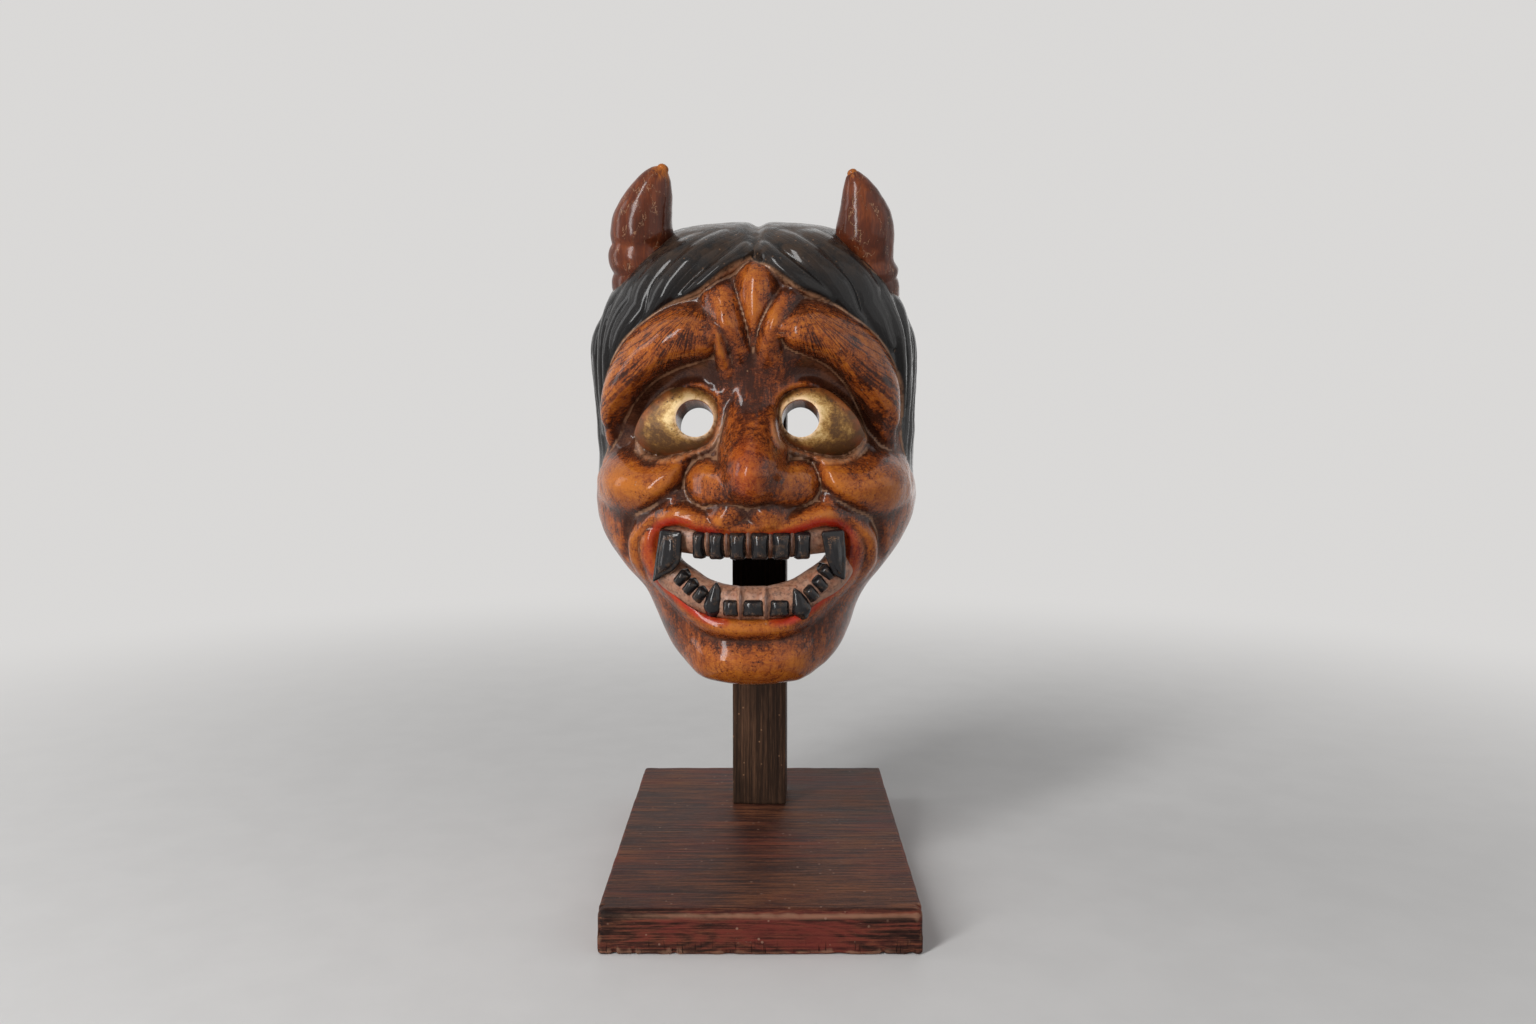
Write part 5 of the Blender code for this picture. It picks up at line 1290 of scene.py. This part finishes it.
def block_tooth(place, size, taper=1.0, roll=0.0):
    """Square tooth with rounded edges and a swollen front, set across the row of teeth."""
    bm = block(size, TOOTH_GRID, 1.2)
    round_edges(bm, size, np.full(len(bm.verts), TOOTH_EDGE))
    points = coordinates(bm) / MM
    across, _, up = (points / (np.array(size) / 2)).T
    swell = np.clip(1 - across**2, 0, 1) * np.clip(1 - up**4, 0, 1)
    points[:, 1] += TOOTH_SETBACK - TOOTH_SWELL * swell * (points[:, 1] < 0)
    points[:, 0] *= 1 - (1 - taper) * (0.5 - points[:, 2] / size[2])
    points += unevenness(points + np.array(place), *TOOTH_MARKS)[:, None]
    turn = Matrix.Rotation(math.atan(2 * TOOTH_ARC * place[0]), 4, "Z") @ Matrix.Rotation(roll, 4, "Y")
    where = face_place(place, turn)
    move_vertices(bm, [where @ Vector(point) for point in points * MM])
    return bm


def pointed_tooth(rows, flat):
    """Tooth that narrows to a point along a curve."""
    bm, _ = bar_along(rows, *CANINE_GRID, (1, 0, 0), flat)
    points = vertex_rows(bm)
    place_vertices(bm, points + unevenness(points, *CANINE_MARKS)[:, None])
    return bm


def blade_tooth(outline):
    """Broad fang cut from a flat blade, its edges rounded and its front swollen."""
    bm = bmesh.new()
    face = bm.faces.new([bm.verts.new((x * MM, -FANG_DEPTH[0] * MM, z * MM)) for x, z in outline])
    thicken(bm, [face], (0, (FANG_DEPTH[0] - FANG_DEPTH[1]) * MM, 0))
    bmesh.ops.bevel(
        bm, geom=bm.edges[:], offset=FANG_EDGE * MM, segments=5, profile=0.5, affect="EDGES", material=-1
    )
    bm.normal_update()
    front = min(bm.faces, key=lambda face: face.normal.y * face.calc_area())
    for rise in FANG_RISES:
        bmesh.ops.inset_region(
            bm, faces=[front], thickness=FANG_STEP * MM, depth=rise * MM, use_even_offset=True
        )
    bmesh.ops.triangulate(bm, faces=bm.faces)
    bmesh.ops.subdivide_edges(bm, edges=bm.edges, cuts=2)
    for _ in range(4):
        bmesh.ops.smooth_vert(
            bm, verts=bm.verts, factor=0.5, use_axis_x=True, use_axis_y=True, use_axis_z=True
        )
    points = vertex_rows(bm)
    lean = FANG_LEAN * (np.abs(points[:, 0]) - FANG_MIDDLE)
    points[:, 1] += unevenness(points, *FANG_MARKS) - lean
    place_vertices(bm, points)
    bmesh.ops.recalc_face_normals(bm, faces=bm.faces)
    return bm


def build_teeth(colours):
    """Blackened teeth, each standing for its own node."""
    made = {}
    for kind, teeth, (q, z, depth, height), taper in (
        ("upper_tooth", UPPER_TEETH, UPPER_TOOTH, UPPER_TAPER),
        ("lower_incisor", LOWER_INCISORS, LOWER_INCISOR, 1.0),
    ):
        for number, (x, width) in enumerate(teeth, 1):
            place = (x, q - TOOTH_ARC * x * x, z)
            made[f"{kind}_{number}"] = block_tooth(place, (width, depth, height), taper)
    for side, word in ((-1, "left"), (1, "right")):
        made["upper_fang_" + word] = blade_tooth(FANGS[word])
        made["lower_canine_" + word] = pointed_tooth(CANINES[word], (1.0, 0.9))
        for number, place in enumerate(MOLARS[word], 1):
            made[f"lower_molar_{word}_{number}"] = block_tooth(place, MOLAR_SIZE, roll=-side * MOLAR_ROLL)
    finish = tooth_finish(colours)
    for node, bm in made.items():
        piece = add_piece(node + "_black", bm, finish, "mask", [node])
        store_wear_and_shade(piece.data, 3, 12)


def build_eyes(colours):
    """Gilt plates that follow the eyeballs, each with its pupil."""
    finish = gilt_finish(colours)
    for side, word in ((-1, "left"), (1, "right")):
        bm = bmesh.new()
        bmesh.ops.create_grid(bm, x_segments=PLATE_GRID[0], y_segments=PLATE_GRID[1], size=0.5)
        outward, turned, _ = (coordinates(bm) + 0.5).T
        angle = 2 * math.pi * turned
        reach = PUPIL_RADIUS + (eye_reach(angle) + PLATE_OVERLAP - PUPIL_RADIUS) * outward
        x = PUPIL[0] + reach * np.cos(angle)
        z = PUPIL[1] + reach * np.sin(angle)
        steps = PLATE_GRID[0] / 2
        inner, outer = PLATE_EDGES
        rounded = inner * np.exp(-outward * steps) + outer * np.exp(-(1 - outward) * steps)
        front = np.stack([EYE_SHIFT + side * x, eye_ball(x, z) + PLATE_THICKNESS - rounded, z], axis=1)
        front[:, 1] += unevenness(front, *PLATE_MARKS)
        place_vertices(bm, front)
        bmesh.ops.remove_doubles(bm, verts=bm.verts, dist=1e-6)
        thicken(bm, bm.faces[:], (0, PLATE_DEPTH * MM, 0))
        places = vertex_rows(bm)
        x, z = side * (places[:, 0] - EYE_SHIFT), places[:, 2]
        name = "eye_plate_" + word
        piece = add_piece(name + "_gilt", bm, finish, "mask", [name])
        from_pupil = np.hypot(x - PUPIL[0], z - PUPIL[1]) - PUPIL_RADIUS
        store(piece.data, "rim", ramp(1 - from_pupil / GILT_RIM))
        # Painted highlight round the pupil
        store(piece.data, "near", ramp(1 - from_pupil / GILT_HIGHLIGHT))
        store(piece.data, "edge", ramp(1 - inside_eye(x, z) / GILT_EDGE))
        store(piece.data, "low", fall(z, *GILT_LOW))


def build_horns(colours):
    """Horns with rings near the root, let into the crown."""
    finish = horn_finish(colours)
    for side, word in ((-1, "left"), (1, "right")):
        bm, along = bar_along(HORNS[word], *HORN_GRID, (0, 1, 0), (0.98, 1.0))
        points = vertex_rows(bm)
        fade = np.clip((1 - along) * HORN_FADE, 0, 1)
        relief = unevenness(points, *HORN_SWELL, side) + unevenness(points, *HORN_MARKS, 3 + side)
        place_vertices(bm, points + vertex_normals(bm) * (relief * fade)[:, None])
        floor = half_form(*HOLLOW_GRID, [HORN_SEAT_SHARE] * 2, [HORN_SEAT] * 2)
        close_back(floor, 0)
        bm = cut(bm, [floor])
        curve = spline(HORNS[word], 16)[:, :3]
        away = np.linalg.norm(vertex_rows(bm)[:, None] - curve, axis=2)
        node = "horn_" + word
        piece = add_piece(node + "_carved", bm, finish, "mask", [node])
        store(piece.data, "tip", away.argmin(axis=1) / len(curve))
        store_wear_and_shade(piece.data, 6, 40)


def build_board(carving, colours):
    """Board with worn edges, nicks and the holes of the screws."""
    low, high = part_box("base_board")
    size = np.array(high - low) / MM
    bm = block(size, BOARD_GRID)
    points = coordinates(bm) / MM
    uneven = unevenness(points, *BROAD_WEAR) + unevenness(points, *FINE_WEAR)
    front_top = (points[:, 1] < -size[1] / 2 + FRONT_BAND) & (points[:, 2] > 0)
    loss = carving.board_wear * np.where(front_top, 0.5, 1.0)
    radius = np.where(front_top, FRONT_EDGE, OTHER_EDGE) + loss * np.clip(0.5 + uneven * 0.8, 0, 1)
    round_edges(bm, size, radius)
    points = coordinates(bm) / MM
    for x, half_width, depth in BOARD_NICKS:
        near = np.exp(-(((points[:, 0] - x) / half_width) ** 4))
        front = fall(points[:, 1], -size[1] / 2 + NICK_REACH[0], NICK_REACH[0])
        low_front = front * fall(points[:, 2], -size[2] / 2 + NICK_REACH[1], NICK_REACH[1])
        points[:, 1] += depth * near * low_front
        points[:, 2] += 0.6 * depth * near * low_front
    move_vertices(bm, points * MM)
    bmesh.ops.translate(bm, verts=bm.verts, vec=(low + high) / 2)
    holes = [
        rod(SCREW_HOLE_RADIUS, SCREW_HOLE_LENGTH, STAND_PLACE @ Matrix.Translation((0, offset * MM, 0)), 48)
        for offset in SCREW_OFFSETS
    ]
    bm = cut(bm, holes)
    board = add_piece("worn_board", bm, board_finish(colours), "stand", ["base_board"],
                      Matrix(), 50)
    store_wear_and_shade(board.data, 5, 20)
    places = np.array([vert.co for vert in board.data.vertices])
    inset = np.minimum(np.abs(places[:, 0] - low.x), np.abs(places[:, 0] - high.x))
    inset = np.minimum(inset, np.minimum(np.abs(places[:, 1] - low.y), np.abs(places[:, 1] - high.y)))
    flank = ramp(1 - inset / MM / FLANK_WIDTH)
    store(board.data, "flank", flank)
    store(board.data, "foot", flank * fall(places[:, 2] / MM, *FOOT_FADE))


def build_post(carving, colours):
    """Square post with worn edges, standing on the board."""
    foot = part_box("base_board")[1].z / MM + FOOT_GAP
    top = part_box("post")[1].z / MM
    size = (POST_SIDE, POST_SIDE, top - foot)
    bm = block(size, POST_GRID, 1.5)
    wear = unevenness(coordinates(bm) / MM, *POST_WEAR)
    radius = POST_EDGE + 0.8 * carving.board_wear * np.clip(wear, 0, 1)
    round_edges(bm, size, radius)
    where = STAND_PLACE @ Matrix.Translation((0, 0, (foot + top) / 2 * MM))
    post = add_piece("worn_post", bm, post_finish(colours), "stand", ["post"], where, 50)
    store_wear_and_shade(post.data, 4, 12)


def build_stand(carving, colours):
    """Board and post, and the finish of the peg and screws."""
    build_board(carving, colours)
    build_post(carving, colours)
    nodes = frame["nodes"]
    nodes["support_peg"].material_slots[0].material = post_finish(colours, "peg_stain")
    steel = steel_finish(colours)
    for node in ("post_screw_front", "post_screw_back"):
        nodes[node].material_slots[0].material = steel


def seen_share(tree):
    """Socket that is 1 for rays from the camera, off a gloss or through glass."""
    path = tree.nodes.new("ShaderNodeLightPath")
    seen = path.outputs["Is Camera Ray"]
    for name in ("Is Glossy Ray", "Is Transmission Ray"):
        either = tree.nodes.new("ShaderNodeMath")
        either.operation = "MAXIMUM"
        tree.links.new(seen, either.inputs[0])
        tree.links.new(path.outputs[name], either.inputs[1])
        seen = either.outputs[0]
    return seen


def paper_finish(pale):
    """Pale paper that takes shadows near the object and shows its plain colour further off."""
    f = Finish("studio_paper")
    grain = f.noise(30, detail=3)
    tone = f.mix(f.ramp(grain, 0.3, 0.7), pale, [0.97 * value for value in pale])
    material = f.done(tone, f.math("ADD", f.math("MULTIPLY", grain, 0.1), 0.6), grain, 0.02)
    away = f.node("VectorMath", {0: f.place}, operation="LENGTH").outputs["Value"]
    plain = f.node("Emission", {"Color": f.full(pale), "Strength": 1.0})
    share = f.math("MULTIPLY", f.ramp(away, *PLAIN_PAPER), seen_share(f.tree))
    mixed = f.node("MixShader", {0: share, 1: f.shader.outputs[0], 2: plain.outputs[0]})
    f.tree.links.new(mixed.outputs[0], f.tree.nodes["Material Output"].inputs["Surface"])
    return material


def lay_floor(pale):
    """Pale floor that sweeps up behind."""
    bm = bmesh.new()
    bmesh.ops.create_grid(bm, x_segments=1, y_segments=1, size=FLOOR_REACH)
    back = [edge for edge in bm.edges if all(vert.co.y > 0 for vert in edge.verts)]
    raised = bmesh.ops.extrude_edge_only(bm, edges=back)
    moved = [item for item in raised["geom"] if isinstance(item, bmesh.types.BMVert)]
    bmesh.ops.translate(bm, verts=moved, vec=(0, 0, FLOOR_REACH))
    bmesh.ops.bevel(
        bm, geom=back, offset=BACKDROP_BEND, segments=24, profile=0.5, affect="EDGES", material=-1
    )
    mesh = finished_mesh("studio_floor", bm)
    mesh.shade_smooth()
    mesh.materials.append(paper_finish(pale))
    floor = add_object("studio_floor", mesh)


def hang_lamps(stage):
    """Soft lamps round the object."""
    for name, power, share, size, place in LAMPS:
        lamp = bpy.data.lights.new(name, "AREA")
        lamp.energy = share * getattr(stage, power)
        lamp.shape = "RECTANGLE"
        lamp.size, lamp.size_y = size
        light = add_object(name, lamp)
        light.location = place
        aim = Vector(LAMP_AIM) - Vector(place)
        light.rotation_euler = aim.to_track_quat("-Z", "Y").to_euler()


def fill_air(pale):
    """Weak light from all round, which shows the plain backdrop colour where it is seen."""
    world = bpy.data.worlds.new("studio_air")
    world.use_nodes = True
    nodes, links = world.node_tree.nodes, world.node_tree.links
    air = nodes["Background"]
    air.inputs["Color"].default_value = (*AIR_COLOUR, 1)
    air.inputs["Strength"].default_value = AIR_STRENGTH
    plain = nodes.new("ShaderNodeBackground")
    plain.inputs["Color"].default_value = (*pale, 1)
    choice = nodes.new("ShaderNodeMixShader")
    links.new(seen_share(world.node_tree), choice.inputs[0])
    links.new(air.outputs[0], choice.inputs[1])
    links.new(plain.outputs[0], choice.inputs[2])
    links.new(choice.outputs[0], nodes["World Output"].inputs["Surface"])
    bpy.context.scene.world = world


def set_camera(stage):
    """Camera that looks a little down at the mask."""
    camera = add_object("camera", bpy.data.cameras.new("camera"))
    camera.data.lens = stage.lens
    camera.data.sensor_width = SENSOR_WIDTH
    camera.location = stage.camera_place
    camera.rotation_euler = (math.pi / 2 - stage.camera_tilt, 0, 0)
    bpy.context.scene.camera = camera


def build_stage(stage):
    """Floor, lamps, air and camera."""
    lay_floor(stage.floor_colour)
    hang_lamps(stage)
    fill_air(stage.floor_colour)
    set_camera(stage)
    bpy.context.scene.view_settings.view_transform = "Standard"


class NohMaskAddFace(bpy.types.Operator):
    """Carve the face with its hair"""

    bl_idname = "noh_mask.add_face"
    bl_label = "Carve Face"

    def execute(self, context):
        build_face(context.scene.noh_mask_carving, context.scene.noh_mask_colours)
        return {"FINISHED"}


class NohMaskAddGums(bpy.types.Operator):
    """Set the gums in the mouth"""

    bl_idname = "noh_mask.add_gums"
    bl_label = "Set Gums"

    def execute(self, context):
        build_gums(context.scene.noh_mask_colours)
        return {"FINISHED"}


class NohMaskAddTeeth(bpy.types.Operator):
    """Set the blackened teeth in the gums"""

    bl_idname = "noh_mask.add_teeth"
    bl_label = "Set Teeth"

    def execute(self, context):
        build_teeth(context.scene.noh_mask_colours)
        return {"FINISHED"}


class NohMaskAddEyes(bpy.types.Operator):
    """Lay the gilt plates on the eyes"""

    bl_idname = "noh_mask.add_eyes"
    bl_label = "Gild Eyes"

    def execute(self, context):
        build_eyes(context.scene.noh_mask_colours)
        return {"FINISHED"}


class NohMaskAddHorns(bpy.types.Operator):
    """Carve the horns"""

    bl_idname = "noh_mask.add_horns"
    bl_label = "Carve Horns"

    def execute(self, context):
        build_horns(context.scene.noh_mask_colours)
        return {"FINISHED"}


class NohMaskAddStand(bpy.types.Operator):
    """Make the board and post and finish the peg and screws"""

    bl_idname = "noh_mask.add_stand"
    bl_label = "Make Stand"

    def execute(self, context):
        build_stand(context.scene.noh_mask_carving, context.scene.noh_mask_colours)
        return {"FINISHED"}


class NohMaskSetStage(bpy.types.Operator):
    """Set the floor, lights and camera"""

    bl_idname = "noh_mask.set_stage"
    bl_label = "Set Stage"

    def execute(self, context):
        build_stage(context.scene.noh_mask_stage)
        return {"FINISHED"}


OPERATORS = (
    NohMaskAddFace, NohMaskAddGums, NohMaskAddTeeth, NohMaskAddEyes, NohMaskAddHorns, NohMaskAddStand,
    NohMaskSetStage,
)
GROUPS = {
    "noh_mask_carving": NohMaskCarving,
    "noh_mask_colours": NohMaskColours,
    "noh_mask_stage": NohMaskStage,
}


class NohMaskPanel(bpy.types.Panel):
    """Sizes, colours and steps of the mask"""

    bl_idname = "VIEW3D_PT_noh_mask"
    bl_label = "Noh Mask"
    bl_space_type = "VIEW_3D"
    bl_region_type = "UI"
    bl_category = "Noh Mask"

    def draw(self, context):
        for group, kind in GROUPS.items():
            box = self.layout.box()
            for name in kind.__annotations__:
                box.prop(getattr(context.scene, group), name)
        for operator in OPERATORS:
            self.layout.operator(operator.bl_idname)


def register():
    for group, kind in GROUPS.items():
        bpy.utils.register_class(kind)
        setattr(bpy.types.Scene, group, PointerProperty(type=kind))
    for kind in (*OPERATORS, NohMaskPanel):
        bpy.utils.register_class(kind)


def unregister():
    for kind in (NohMaskPanel, *reversed(OPERATORS)):
        bpy.utils.unregister_class(kind)
    for group, kind in reversed(GROUPS.items()):
        delattr(bpy.types.Scene, group)
        bpy.utils.unregister_class(kind)


def main():
    """Builds every piece in order."""
    register()
    bpy.ops.noh_mask.add_face()
    bpy.ops.noh_mask.add_gums()
    bpy.ops.noh_mask.add_teeth()
    bpy.ops.noh_mask.add_eyes()
    bpy.ops.noh_mask.add_horns()
    bpy.ops.noh_mask.add_stand()
    bpy.ops.noh_mask.set_stage()


if __name__ == "__main__":
    main()
